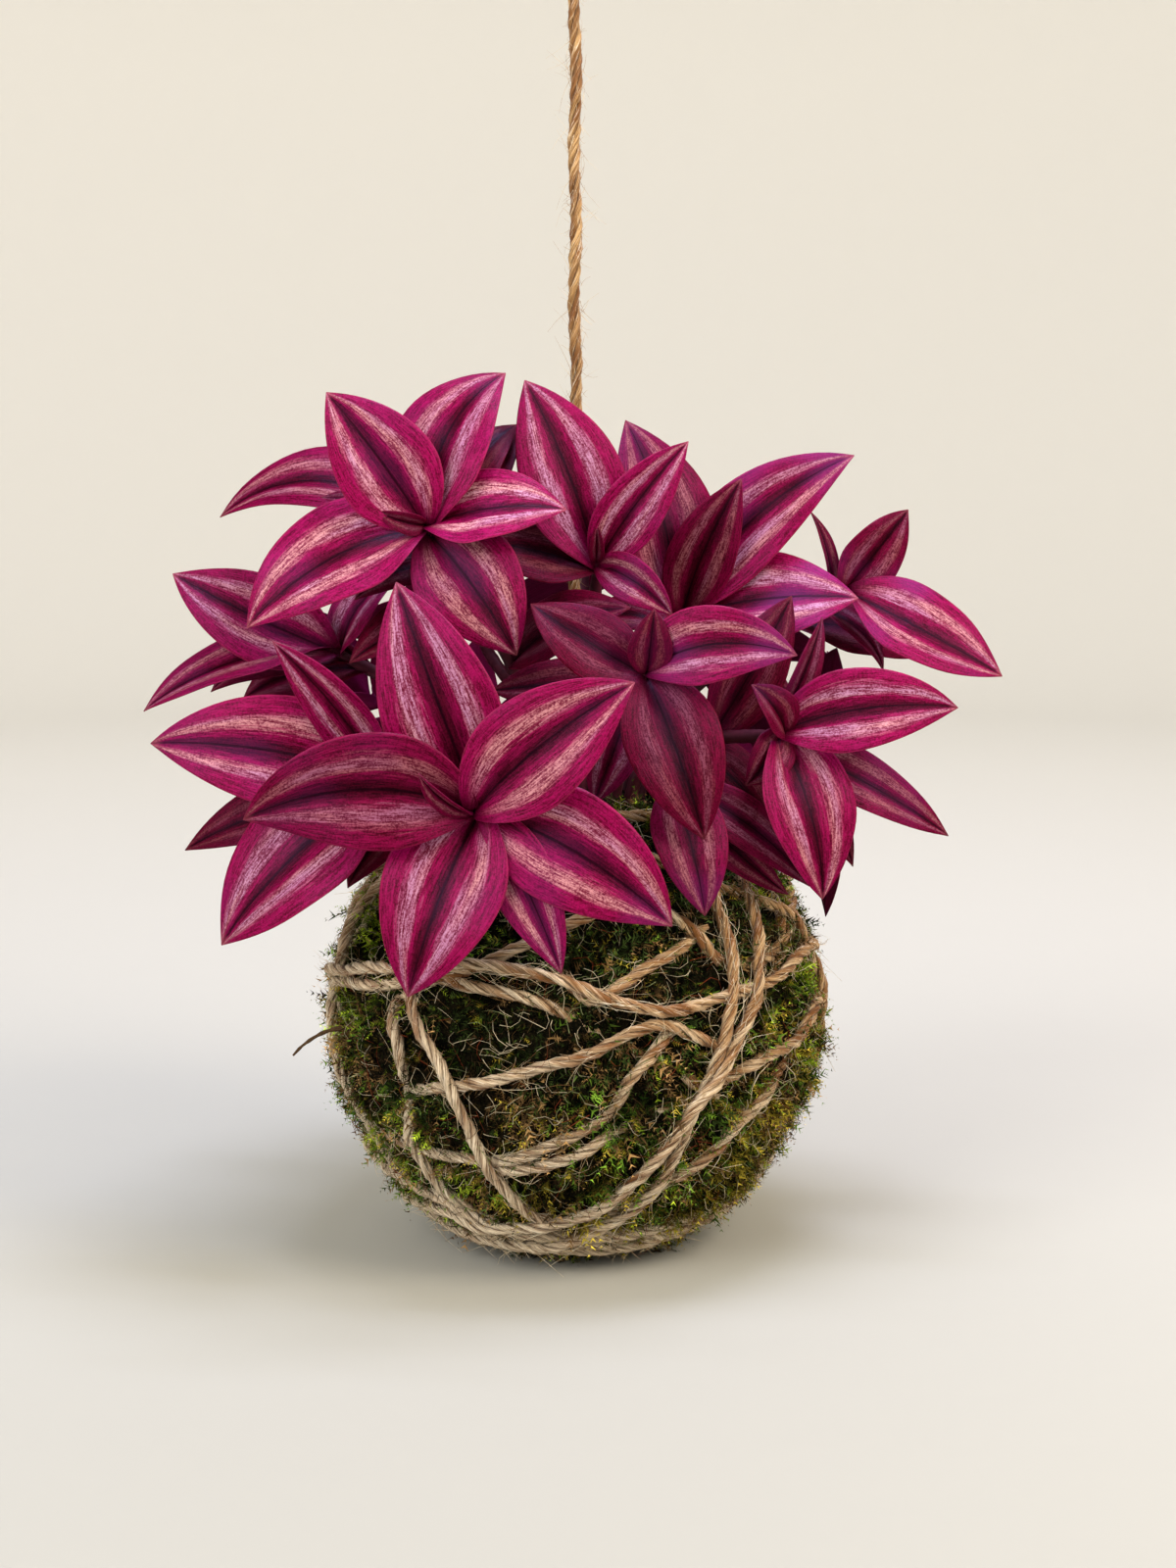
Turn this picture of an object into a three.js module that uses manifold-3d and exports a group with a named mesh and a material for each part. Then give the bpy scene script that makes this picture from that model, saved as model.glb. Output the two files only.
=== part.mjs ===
// A kokedama: leafy stems of a striped inch plant rooted in a ball of soil, which is wrapped in moss,
// bound with one long jute twine and hung by a taut strand of the same twine.
// Millimetres, +Z up, X to the right and Y away from the viewer.
// The origin is the centre of the small flat spot under the ball.
import * as THREE from "three";
import { mergeVertices } from "three/addons/utils/BufferGeometryUtils.js";
import Module from "manifold-3d";

const wasm = await Module();
wasm.setup();

// Driving dimensions
const BALL_CENTRE_Z = 55;
const MOSS_RADIUS = 57.3;
const MOSS_RELIEF = 1.2;
const SOIL_RADIUS = 52.4;
const NECK_RADIUS = 23;
const GAP = 0.3;
const TWINE_DIAMETER = 3.1;
const WRAP_RADIUS = 59.9;
const COLLAR_LATITUDE = 59;
const BRIDLE_Y = 3;
const KNOT_HEIGHT = 124;
const HANGING_TOP = 298;
const EYE_LOOP_LENGTH = 26;
const STEM_RADIUS = 1.6;
const STEM_HOLE_RADIUS = 2.2;
const ROOT_DEPTH = 12;
const LEAF_THICKNESS = 0.7;
const BROAD_LEAF = 17;

// The wraps of the binding, each a closed turn round the ball through its [azimuth, latitude] points in
// degrees. Azimuth 0 faces the viewer and 90 is the right side.
const WRAPS = [
  [
    [-72, 13], [-35, 19], [-6, 21], [20, 12], [45, 13], [72, 14], [115, 22], [160, 22], [205, 8],
    [250, 6],
  ],
  [
    [-72, 11], [-45, 15], [-24, 20], [3, 33], [35, 46], [85, 50], [125, 36], [165, 10], [205, -8],
    [245, -2],
  ],
  [
    [-85, 52], [-50, 33], [-38, 12], [-27, -5], [-15, -35], [20, -50], [80, -50], [120, -32],
    [145, 0], [168, 38], [215, 53],
  ],
  [
    [68, 50], [50, 26], [42, 10], [33, -1], [4, -37], [-25, -49], [-80, -50], [-125, -34],
    [-142, -5], [-155, 36], [145, 54],
  ],
  [
    [46, 48], [38, 25], [37, 9], [32, -6], [20, -23], [-5, -41], [-45, -47], [-88, -37], [-115, -8],
    [-135, 28], [175, 50], [95, 56],
  ],
  [
    [-90, -18], [-60, -12], [-29, -6], [-5, 1], [10, 8], [24, 15], [50, 28], [88, 34], [130, 24],
    [175, 2], [225, -16],
  ],
  [
    [72, 2], [51, -1], [38, -4], [20, -12], [3, -19], [-16, -26], [-50, -33], [-95, -34],
    [-140, -22], [-178, -6], [145, 5], [108, 6],
  ],
  [
    [-62, 48], [-72, 31], [-76, 13], [-76, -4], [-72, -30], [-40, -51], [40, -53], [90, -33],
    [106, 0], [118, 34], [160, 50], [215, 54], [262, 55],
  ],
];

// The shoots that face the viewer, and the one behind the hanging twine. A shoot's crown is where its
// youngest leaves open, its axis points out of it, and its root is where it enters the soil. Each leaf is
// [mm down the stem, bearing, lean to the viewer, length, width, arch, lift, roll, fold]:
// bearing 0 points right and 90 up, arch bows the blade to its upper side and lift bows it upwards.
const FRONT_SHOOTS = [
  {
    name: "top_left", crown: [-34, -30, 173], axis: [-0.25, -0.8, 0.55], root: [-7, -6],
    leaves: [
      [1, 125, 12, 37, 25, 4, 1, 0, 24], [3, -152, 14, 46, 27, 4, 4, -8, 26],
      [2, 8, 14, 33, 23, 3, 1, -5, 28], [4, -53, 18, 35, 26, 4, 2, 0, 22],
      [5, 65, -12, 41, 27, 4, 12, 0, 24], [8, 174, -14, 52, 21, 5, 10, 10, 28],
      [9, 56, -25, 36, 17, 3, 4, 0, 26], [0, 163, 30, 12, 8, 3, 0, -50, 50],
      [7, 159, 4, 27, 9, 3, 2, 0, 30], [20, 195, 15, 24, 12, 4, 2, 0, 26],
      [38, 195, 35, 38, 19, 4, 2, 0, 26], [14, 60, -25, 38, 19, 4, 2, 0, 26],
      [54, 30, 35, 38, 19, 4, 2, 0, 26],
    ],
  },
  {
    name: "top_middle", crown: [5, -16, 164], axis: [0, -0.8, 0.6], root: [1, -6],
    leaves: [
      [3, 111, -2, 46, 27, 4, 3, 0, 24], [4, 167, 4, 32, 17, 4, 0, -10, 26],
      [2, 54, 12, 36, 18, 4, 3, 30, 36], [2, -32, 22, 22, 13, 3, 3, 35, 36],
      [0, 90, 30, 10, 6, 1, 0, 0, 55], [24, 0, 35, 24, 12, 4, 2, 0, 26],
    ],
  },
  {
    name: "top_right", crown: [26, 4, 151], axis: [0.25, -0.65, 0.72], root: [8, -3],
    leaves: [
      [8, 103, -5, 52, 32, 4, 9, 0, 24], [4, 44, 2, 57, 24, 4, 8, 10, 26],
      [2, 68, 16, 37, 18, 4, 4, 0, 26], [3, 8, 15, 43, 27, 4, 1, 20, 24],
    ],
  },
  {
    name: "centre", crown: [16, -42, 141], axis: [0.05, -0.93, 0.35], root: [4, -12],
    leaves: [
      [3, 148, 2, 30, 18, 4, -2, 0, 26], [0, 84, 18, 15, 12, 2, 0, 0, 34],
      [1, 8, 14, 34, 20, 5, 5, 10, 30], [3, -70, 16, 39, 24, 6, 0, 0, 24],
      [12, -177, -10, 34, 14, 4, 0, 0, 28], [10, -111, 2, 29, 15, 4, 0, 0, 28],
    ],
  },
  {
    name: "front", crown: [-22, -58, 112], axis: [-0.2, -0.95, 0.2], root: [-4, -15],
    leaves: [
      [6, 110, -2, 53, 29, 6, 2, 0, 24], [2, -179, 6, 50, 30, 5, 8, -15, 30],
      [1, 40, 10, 46, 27, 6, 3, 10, 26], [5, -30, 8, 49, 28, 6, 5, 0, 24],
      [7, -112, 14, 44, 30, 7, 0, 0, 24], [8, -64, 14, 40, 17, 6, 6, 0, 28],
      [10, -104, 9, 36, 17, 4, 0, 0, 28], [0, 139, 30, 17, 8, 2, 0, -40, 45],
    ],
  },
  {
    name: "left", crown: [-57, -14, 144], axis: [-0.6, -0.6, 0.5], root: [-15, -4],
    leaves: [
      [3, 154, 2, 42, 23, 4, -2, 0, 24], [2, -163, 10, 46, 19, 3, 3, 5, 28],
      [9, -168, -12, 37, 15, 4, 4, 0, 26], [5, 56, 0, 22, 18, 3, 3, 0, 26],
      [14, 195, -25, 38, 19, 4, 2, 0, 26],
    ],
  },
  {
    name: "low_left", crown: [-43, -40, 116], axis: [-0.5, -0.8, 0.3], root: [-11, -11],
    leaves: [
      [3, 170, 2, 54, 28, 5, 3, 0, 24], [4, -137, 4, 53, 32, 6, 1, 0, 24],
      [2, 127, 8, 41, 15, 4, 6, 0, 26], [9, -162, -10, 56, 17, 5, 2, 0, 26],
      [24, -135, 15, 38, 19, 4, 2, 0, 26],
    ],
  },
  {
    name: "right", crown: [47, -30, 126], axis: [0.45, -0.85, 0.25], root: [13, -9],
    leaves: [
      [2, 9, 6, 41, 21, 5, 3, 0, 26], [3, -74, 12, 39, 26, 6, 0, 0, 24],
      [1, -126, 24, 15, 13, 3, 0, 0, 34], [7, -29, -6, 50, 15, 5, 0, 0, 26],
      [0, 123, 24, 15, 13, 3, 0, 0, 40], [11, -52, -14, 42, 13, 5, 2, 0, 28],
      [4, 67, -5, 29, 10, 3, 0, 0, 45], [22, 60, -5, 38, 19, 4, 2, 0, 26],
      [30, -45, -5, 31, 16, 4, 2, 0, 26],
    ],
  },
  {
    name: "far_right", crown: [65, 4, 156], axis: [0.65, -0.55, 0.5], root: [15, -2],
    leaves: [
      [3, 52, 0, 26, 17, 3, 2, 0, 26], [1, -28, 10, 42, 24, 4, -2, 20, 26],
      [6, 103, 0, 22, 8, 2, 0, 0, 40], [11, -41, 4, 22, 12, 4, 1, 0, 28],
      [20, -15, -25, 38, 19, 4, 2, 0, 26], [44, -15, 35, 24, 12, 4, 2, 0, 26],
    ],
  },
  {
    name: "low_right", crown: [22, -38, 115], axis: [0.2, -0.9, 0.1], root: [9, -14],
    leaves: [
      [2, -75, 22, 31, 19, 5, 0, 0, 26], [7, -43, -4, 40, 11, 3, -2, 0, 28],
      [3, -37, -8, 41, 13, 4, 4, 0, 28],
    ],
  },
  {
    name: "back_top_middle", crown: [2, 24, 170], axis: [0, 0.3, 0.95], root: [0, 14],
    leaves: [
      [3, 8, 12, 36, 19, 4, 3, 0, 25], [4, 172, 14, 36, 19, 4, 3, 0, 25],
      [6, 25, -48, 38, 19, 4, 3, 0, 25], [7, 150, -42, 38, 19, 4, 3, 0, 25],
      [0, 80, -14, 22, 11, 3, 1, 0, 34],
    ],
  },
];

// The shoots behind, whose leaves open in a spiral of their own from the given first turn.
const BACK_SHOOTS = [
  { name: "back_left", crown: [-52, 26, 128], axis: [-0.8, 0.45, 0.4], root: [-12, 9], firstTurn: 84 },
  { name: "back_top_left", crown: [-26, 48, 146], axis: [-0.25, 0.6, 0.75], root: [-5, 9], firstTurn: 348 },
  { name: "back_top_right", crown: [30, 40, 144], axis: [0.35, 0.6, 0.7], root: [5, 10], firstTurn: 180 },
  { name: "back_right", crown: [58, 32, 111], axis: [0.85, 0.45, 0.2], root: [12, 9], firstTurn: 252 },
  { name: "back_low_left", crown: [-28, 68, 106], axis: [-0.3, 0.93, 0.15], root: [-6, 14], firstTurn: 0 },
  { name: "back_low_right", crown: [20, 68, 101], axis: [0.3, 0.93, 0.1], root: [6, 14], firstTurn: 76 },
];
const BACK_LEAF_COUNT = 6;
const GOLDEN_ANGLE = 137.5;
const LEAF_SPACING = 2;
const FIRST_TILT = 58;
const NEXT_TILT = 7;
const FIRST_LENGTH = 30;
const NEXT_LENGTH = 2.5;
const BACK_LEAF_FORM = { arch: 4, lift: 2, roll: 0, fold: 25 };

// Finishes
const FINISHES = {
  soil: { color: 0x2b2018, roughness: 0.95, metalness: 0 },
  moss: { color: 0x4b5a22, roughness: 1, metalness: 0 },
  jute: { color: 0xb08d5c, roughness: 0.9, metalness: 0 },
  leaf: { color: 0x9c2463, roughness: 0.42, metalness: 0 },
};

const radians = THREE.MathUtils.degToRad;
const vector = (numbers) => new THREE.Vector3(...numbers);
const ballCentre = new THREE.Vector3(0, 0, BALL_CENTRE_Z);

// Solids from closed geometry, and geometry from solids
function solidOf(geometry) {
  const bare = new THREE.BufferGeometry();
  bare.setAttribute("position", geometry.getAttribute("position").clone());
  if (geometry.index) bare.setIndex(geometry.index.clone());
  const merged = mergeVertices(bare, 1e-4);
  const kept = [];
  const corners = merged.index.array;
  for (let i = 0; i < corners.length; i += 3) {
    const [a, b, c] = corners.slice(i, i + 3);
    if (a !== b && b !== c && c !== a) kept.push(a, b, c);
  }
  return new wasm.Manifold(new wasm.Mesh({
    numProp: 3,
    vertProperties: new Float32Array(merged.getAttribute("position").array),
    triVerts: new Uint32Array(kept),
  }));
}

// The largest body of the join: a hollow sealed by fusing is filled and a loose scrap is dropped
function joined(solids) {
  const bodies = solids.reduce((whole, next) => whole.add(next)).decompose();
  return bodies.reduce((largest, next) => (next.volume() > largest.volume() ? next : largest));
}

function geometryOf(solid) {
  const mesh = solid.getMesh();
  const geometry = new THREE.BufferGeometry();
  geometry.setAttribute("position", new THREE.BufferAttribute(new Float32Array(mesh.vertProperties), 3));
  geometry.setIndex(new THREE.BufferAttribute(new Uint32Array(mesh.triVerts), 1));
  return geometry;
}

function piece(name, solid, finish) {
  const mesh = new THREE.Mesh(geometryOf(solid), new THREE.MeshStandardMaterial(FINISHES[finish]));
  mesh.name = name;
  return mesh;
}

// A rod of even thickness along an open curve
function rod(curve, radius, sides, steps) {
  const corners = [];
  for (let i = 0; i < sides; i++) {
    const angle = (2 * Math.PI * i) / sides;
    corners.push(new THREE.Vector2(radius * Math.cos(angle), radius * Math.sin(angle)));
  }
  const run = { extrudePath: curve, steps, bevelEnabled: false };
  return solidOf(new THREE.ExtrudeGeometry(new THREE.Shape(corners), run));
}

function ball(radius, around, down) {
  const sphere = new THREE.SphereGeometry(radius, around, down);
  sphere.rotateX(Math.PI / 2);
  sphere.translate(0, 0, BALL_CENTRE_Z);
  return sphere;
}

// Soil: a plain ball with a straight hole for each stem
const INNER_AROUND = 20;
const INNER_DOWN = 10;
const HOLE_SIDES = 6;
const HOLE_ABOVE_SOIL = 5;

function soilTopAt(x, y) {
  return BALL_CENTRE_Z + Math.sqrt(SOIL_RADIUS ** 2 - x * x - y * y);
}

function stemHole([x, y]) {
  const top = soilTopAt(x, y) + HOLE_ABOVE_SOIL;
  const bottom = soilTopAt(x, y) - ROOT_DEPTH - 2 * GAP;
  const hole = new THREE.CylinderGeometry(STEM_HOLE_RADIUS, STEM_HOLE_RADIUS, top - bottom, HOLE_SIDES);
  hole.rotateX(Math.PI / 2);
  hole.translate(x, y, (top + bottom) / 2);
  return solidOf(hole);
}

function soilCore(shoots) {
  let soil = solidOf(ball(SOIL_RADIUS, INNER_AROUND, INNER_DOWN));
  for (const shoot of shoots) soil = soil.subtract(stemHole(shoot.root));
  return piece("soil_core", soil, "soil");
}

// Moss: a lumpy skin round the soil, open at the neck and pressed flat underneath
const MOSS_AROUND = 28;
const MOSS_DOWN = 14;
const NECK_DEPTH = 20;
const NECK_SIDES = 20;

// Two crossed sets of waves in azimuth and latitude, which only sink the surface
function mossRelief(azimuth, latitude) {
  const wide = Math.sin(5 * azimuth + 1.3) * Math.cos(4 * latitude + 0.4);
  const fine = Math.sin(9 * azimuth + 7 * latitude) * Math.cos(latitude);
  return (0.5 * wide + 0.5 * fine - 1) * 0.5 * MOSS_RELIEF;
}

function mossSkin() {
  const outside = ball(MOSS_RADIUS, MOSS_AROUND, MOSS_DOWN);
  const positions = outside.getAttribute("position");
  const point = new THREE.Vector3();
  for (let i = 0; i < positions.count; i++) {
    point.fromBufferAttribute(positions, i).sub(ballCentre);
    const azimuth = Math.atan2(point.y, point.x);
    const latitude = Math.asin(THREE.MathUtils.clamp(point.z / MOSS_RADIUS, -1, 1));
    point.setLength(MOSS_RADIUS + mossRelief(azimuth, latitude)).add(ballCentre);
    positions.setXYZ(i, point.x, point.y, point.z);
  }
  const neck = new THREE.CylinderGeometry(NECK_RADIUS, NECK_RADIUS, NECK_DEPTH, NECK_SIDES);
  neck.rotateX(Math.PI / 2);
  neck.translate(0, 0, BALL_CENTRE_Z + MOSS_RADIUS);
  const ground = new THREE.BoxGeometry(4 * MOSS_RADIUS, 4 * MOSS_RADIUS, MOSS_RADIUS);
  ground.translate(0, 0, -MOSS_RADIUS / 2);
  const skin = solidOf(outside)
    .subtract(solidOf(ball(SOIL_RADIUS + GAP, INNER_AROUND, INNER_DOWN)))
    .subtract(solidOf(neck))
    .subtract(solidOf(ground));
  return piece("moss_skin", skin, "moss");
}

// Jute: closed turns of twine round the ball, a collar round the neck, and a bridle up to the knot
const WRAP_STEPS = 18;
const WRAP_SIDES = 4;
const COLLAR_STEP = 45;
const KNOT_CORE_RADIUS = 1.1 * TWINE_DIAMETER;
const KNOT_TURN_RADIUS = 0.85 * TWINE_DIAMETER;
const KNOT_TURN_TILT = 60;
const KNOT_REACH = 1.17 * TWINE_DIAMETER;
const BRIDLE_ARCH = 0.55;

function onBall([azimuth, latitude], radius) {
  const a = radians(azimuth);
  const b = radians(latitude);
  const direction = new THREE.Vector3(Math.sin(a) * Math.cos(b), -Math.cos(a) * Math.cos(b), Math.sin(b));
  return direction.multiplyScalar(radius).add(ballCentre);
}

class WrapCurve extends THREE.Curve {
  constructor(angles) {
    super();
    this.loose = new THREE.CatmullRomCurve3(angles.map((pair) => onBall(pair, WRAP_RADIUS)), true);
  }

  getPoint(t, target = new THREE.Vector3()) {
    const point = this.loose.getPoint(t).sub(ballCentre).setLength(WRAP_RADIUS).add(ballCentre);
    return target.copy(point);
  }
}

// A closed tube, because a turn that ran from end to end would leave two cut faces to fuse
function wrap(angles) {
  const turn = new WrapCurve(angles);
  return solidOf(new THREE.TubeGeometry(turn, WRAP_STEPS, TWINE_DIAMETER / 2, WRAP_SIDES, true));
}

function collar() {
  const angles = [];
  for (let azimuth = 0; azimuth < 360; azimuth += COLLAR_STEP) angles.push([azimuth, COLLAR_LATITUDE]);
  return wrap(angles);
}

// A knot of two crossed turns round a core
function knot(height) {
  const core = new THREE.SphereGeometry(KNOT_CORE_RADIUS, 6, 4);
  const parts = [core];
  for (const turn of [-1, 1]) {
    const ring = new THREE.TorusGeometry(KNOT_TURN_RADIUS, TWINE_DIAMETER / 2, 5, 8);
    ring.rotateX(radians(KNOT_TURN_TILT * turn));
    parts.push(ring);
  }
  for (const part of parts) part.translate(0, BRIDLE_Y, height);
  return joined(parts.map(solidOf));
}

function bridle() {
  const collarRadius = WRAP_RADIUS * Math.cos(radians(COLLAR_LATITUDE));
  const collarHeight = BALL_CENTRE_Z + WRAP_RADIUS * Math.sin(radians(COLLAR_LATITUDE));
  const rise = KNOT_HEIGHT - collarHeight;
  const curve = new THREE.CatmullRomCurve3([
    new THREE.Vector3(-collarRadius, BRIDLE_Y, collarHeight),
    new THREE.Vector3(-collarRadius / 2, BRIDLE_Y, collarHeight + BRIDLE_ARCH * rise),
    new THREE.Vector3(0, BRIDLE_Y, KNOT_HEIGHT),
    new THREE.Vector3(collarRadius / 2, BRIDLE_Y, collarHeight + BRIDLE_ARCH * rise),
    new THREE.Vector3(collarRadius, BRIDLE_Y, collarHeight),
  ]);
  return rod(curve, TWINE_DIAMETER / 2, 6, 12);
}

function juteBinding() {
  const turns = WRAPS.map(wrap);
  return piece("jute_binding", joined([...turns, collar(), bridle(), knot(KNOT_HEIGHT)]), "jute");
}

// Hanging twine: a taut strand from the knot, and the eye that its far end is tied into
function hangingTwine() {
  const low = KNOT_HEIGHT + KNOT_REACH + GAP;
  const high = HANGING_TOP;
  const points = [low, (low + high) / 2, high].map((z) => new THREE.Vector3(0, BRIDLE_Y, z));
  const strand = rod(new THREE.CatmullRomCurve3(points), TWINE_DIAMETER / 2, 8, 20);
  return piece("hanging_twine", strand, "jute");
}

function hangingEye() {
  const knotHeight = HANGING_TOP + GAP + KNOT_REACH;
  const half = EYE_LOOP_LENGTH / 3;
  const turn = [
    [0, 0], [0.8, 0.3], [1, 0.65], [0.6, 0.93], [0, 1], [-0.6, 0.93], [-1, 0.65], [-0.8, 0.3],
  ].map(([x, z]) => new THREE.Vector3(half * x, BRIDLE_Y, knotHeight + EYE_LOOP_LENGTH * z));
  const course = new THREE.CatmullRomCurve3(turn, true);
  const loop = solidOf(new THREE.TubeGeometry(course, WRAP_STEPS, TWINE_DIAMETER / 2, 5, true));
  return piece("hanging_eye", joined([loop, knot(knotHeight)]), "jute");
}

// Leaves: ovate blades, folded where they clasp the stem and opening along their length
const BASE_FOLD = 70;
const FOLD_LENGTH = 0.4;
const PUFF = 0.25;
const TIP_HALF_WIDTH = 0.35;
const BASE_SHARE = 0.01;
const OUTLINE_RISE = 0.72;
const OUTLINE_FALL = 1;
const NEAR_BOW = { along: 0.3, bowed: 1.2 };
const FAR_BOW = { along: 0.72, bowed: 1 };

// A blade's half width as a share of its greatest, from base to tip
function halfWidth(t) {
  const s = BASE_SHARE + (1 - BASE_SHARE) * t;
  const widest = OUTLINE_RISE / (OUTLINE_RISE + OUTLINE_FALL);
  return (s / widest) ** OUTLINE_RISE * ((1 - s) / (1 - widest)) ** OUTLINE_FALL;
}

// The midrib as a cubic from base to tip, and the directions that the blade lies in
function leafFrame(leaf) {
  const along = leaf.tip.clone().sub(leaf.base);
  const forward = along.clone().normalize();
  const upper = leaf.axis.clone().addScaledVector(forward, -leaf.axis.dot(forward)).normalize();
  upper.applyAxisAngle(forward, radians(leaf.roll));
  const upwards = new THREE.Vector3(0, 0, 1).addScaledVector(forward, -forward.z);
  const bow = upper.clone().multiplyScalar(leaf.arch).addScaledVector(upwards, leaf.lift);
  const [near, far] = [NEAR_BOW, FAR_BOW].map((at) => (
    leaf.base.clone().addScaledVector(along, at.along).addScaledVector(bow, at.bowed)
  ));
  return { upper, midrib: new THREE.CubicBezierCurve3(leaf.base, near, far, leaf.tip) };
}

function leafGrid(leaf, rows, columns) {
  const { upper, midrib } = leafFrame(leaf);
  const grid = [];
  for (let i = 0; i <= rows; i++) {
    const t = i / rows;
    const centre = midrib.getPoint(t);
    const tangent = midrib.getTangent(t);
    const up = upper.clone().addScaledVector(tangent, -upper.dot(tangent)).normalize();
    const across = new THREE.Vector3().crossVectors(tangent, up);
    const half = Math.max((leaf.width / 2) * halfWidth(t), TIP_HALF_WIDTH);
    const closing = Math.max(0, 1 - t / FOLD_LENGTH) ** 2;
    const fold = radians(leaf.fold + (BASE_FOLD - leaf.fold) * closing);
    const row = [];
    for (let j = 0; j <= columns; j++) {
      const u = -1 + (2 * j) / columns;
      const rise = Math.abs(u) * Math.sin(fold) - PUFF * u * u;
      const outwards = centre.clone().addScaledVector(across, half * u * Math.cos(fold));
      row.push(outwards.addScaledVector(up, half * rise));
    }
    grid.push(row);
  }
  return grid;
}

// The blade's two faces are the grid moved both ways along its normals, split into triangles alike
const BROAD_ROWS = 4;
const NARROW_ROWS = 3;
const LEAF_COLUMNS = 2;

function blade(leaf) {
  const rows = leaf.width >= BROAD_LEAF ? BROAD_ROWS : NARROW_ROWS;
  const columns = LEAF_COLUMNS;
  const grid = leafGrid(leaf, rows, columns);
  const across = columns + 1;
  const count = (rows + 1) * across;
  const positions = new Float32Array(6 * count);
  grid.forEach((row, i) => row.forEach((point, j) => {
    const lengthwise = grid[Math.min(i + 1, rows)][j].clone().sub(grid[Math.max(i - 1, 0)][j]);
    const crosswise = row[Math.min(j + 1, columns)].clone().sub(row[Math.max(j - 1, 0)]);
    const normal = crosswise.cross(lengthwise).setLength(LEAF_THICKNESS / 2);
    point.clone().add(normal).toArray(positions, 3 * (i * across + j));
    point.clone().sub(normal).toArray(positions, 3 * (count + i * across + j));
  }));
  const triangles = [];
  const square = (a, b, c, d) => triangles.push(a, b, c, a, c, d);
  const at = (i, j) => i * across + j;
  for (let i = 0; i < rows; i++) {
    for (let j = 0; j < columns; j++) {
      const [a, b, c, d] = [at(i, j), at(i, j + 1), at(i + 1, j + 1), at(i + 1, j)];
      triangles.push(a, b, c, a, c, d);
      triangles.push(count + a, count + c, count + b, count + a, count + d, count + c);
    }
    square(at(i, 0), at(i + 1, 0), count + at(i + 1, 0), count + at(i, 0));
    square(at(i + 1, columns), at(i, columns), count + at(i, columns), count + at(i + 1, columns));
  }
  for (let j = 0; j < columns; j++) {
    square(at(0, j + 1), at(0, j), count + at(0, j), count + at(0, j + 1));
    square(at(rows, j), at(rows, j + 1), count + at(rows, j + 1), count + at(rows, j));
  }
  const geometry = new THREE.BufferGeometry();
  geometry.setAttribute("position", new THREE.BufferAttribute(positions, 3));
  geometry.setIndex(triangles);
  return solidOf(geometry);
}

// Above the soil a stem is one cubic that rises upright and bends out to its crown
const STEM_RISE = 22;
const STEM_BEND = 0.4;
const STEM_SIDES = 5;
const STEM_STEPS = 7;

function stemAbove(shoot) {
  const [x, y] = shoot.root;
  const soilTop = new THREE.Vector3(x, y, soilTopAt(x, y));
  const crown = vector(shoot.crown);
  const bend = STEM_BEND * crown.distanceTo(soilTop);
  const rise = soilTop.clone().add(new THREE.Vector3(0, 0, Math.max(STEM_RISE, bend)));
  const approach = crown.clone().addScaledVector(vector(shoot.axis).normalize(), -bend);
  return new THREE.CubicBezierCurve3(soilTop, rise, approach, crown);
}

// The point on a stem that lies so far down from its crown
function downStem(shoot, down) {
  const stem = stemAbove(shoot);
  return stem.getPoint(1 - down / (3 * stem.v2.distanceTo(stem.v3)));
}

function stemRod(shoot) {
  const above = stemAbove(shoot);
  const buried = above.v0.clone().sub(new THREE.Vector3(0, 0, ROOT_DEPTH));
  const whole = new THREE.CatmullRomCurve3([buried, ...above.getPoints(6)], false, "centripetal");
  return rod(whole, STEM_RADIUS, STEM_SIDES, STEM_STEPS);
}

// The leaves of a shoot with their bases and tips placed
function frontLeaves(shoot) {
  const axis = vector(shoot.axis).normalize();
  return shoot.leaves.map(([down, bearing, lean, length, width, arch, lift, roll, fold]) => {
    const base = downStem(shoot, down);
    const a = radians(bearing);
    const e = radians(lean);
    const direction = new THREE.Vector3(Math.cos(e) * Math.cos(a), -Math.sin(e), Math.cos(e) * Math.sin(a));
    const tip = base.clone().addScaledVector(direction, length);
    return { base, tip, axis, width, arch, lift, roll, fold };
  });
}

function backLeaves(shoot) {
  const axis = vector(shoot.axis).normalize();
  const first = new THREE.Vector3().crossVectors(axis, new THREE.Vector3(0, 0, 1)).normalize();
  const second = new THREE.Vector3().crossVectors(axis, first);
  const leaves = [];
  for (let k = 0; k < BACK_LEAF_COUNT; k++) {
    const turn = radians(shoot.firstTurn + GOLDEN_ANGLE * k);
    const tilt = radians(FIRST_TILT + NEXT_TILT * k);
    const length = FIRST_LENGTH + NEXT_LENGTH * k;
    const outward = first.clone().multiplyScalar(Math.cos(turn)).addScaledVector(second, Math.sin(turn));
    const direction = axis.clone().multiplyScalar(Math.cos(tilt)).addScaledVector(outward, Math.sin(tilt));
    const base = downStem(shoot, LEAF_SPACING * k);
    const tip = base.clone().addScaledVector(direction, length);
    leaves.push({ base, tip, axis, width: length / 2, ...BACK_LEAF_FORM });
  }
  return leaves;
}

function leafyStem(shoot) {
  const leaves = shoot.leaves ? frontLeaves(shoot) : backLeaves(shoot);
  return piece(`leafy_stem_${shoot.name}`, joined([stemRod(shoot), ...leaves.map(blade)]), "leaf");
}

const shoots = [...FRONT_SHOOTS, ...BACK_SHOOTS];
const kokedama = new THREE.Group();
kokedama.add(soilCore(shoots), mossSkin(), juteBinding(), hangingTwine(), hangingEye());
for (const shoot of shoots) kokedama.add(leafyStem(shoot));

export default kokedama;
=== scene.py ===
"""A kokedama: leafy shoots of a striped inch plant rooted in a moss ball, bound and hung with jute twine.

Sizes are in millimetres, in the part's own frame: +Z up, X to the right, Y away from the viewer, and the
origin under the middle of the ball. Each mesh is made in metres.
"""

import math

import bpy
import numpy as np
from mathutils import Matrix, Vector, noise


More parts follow.
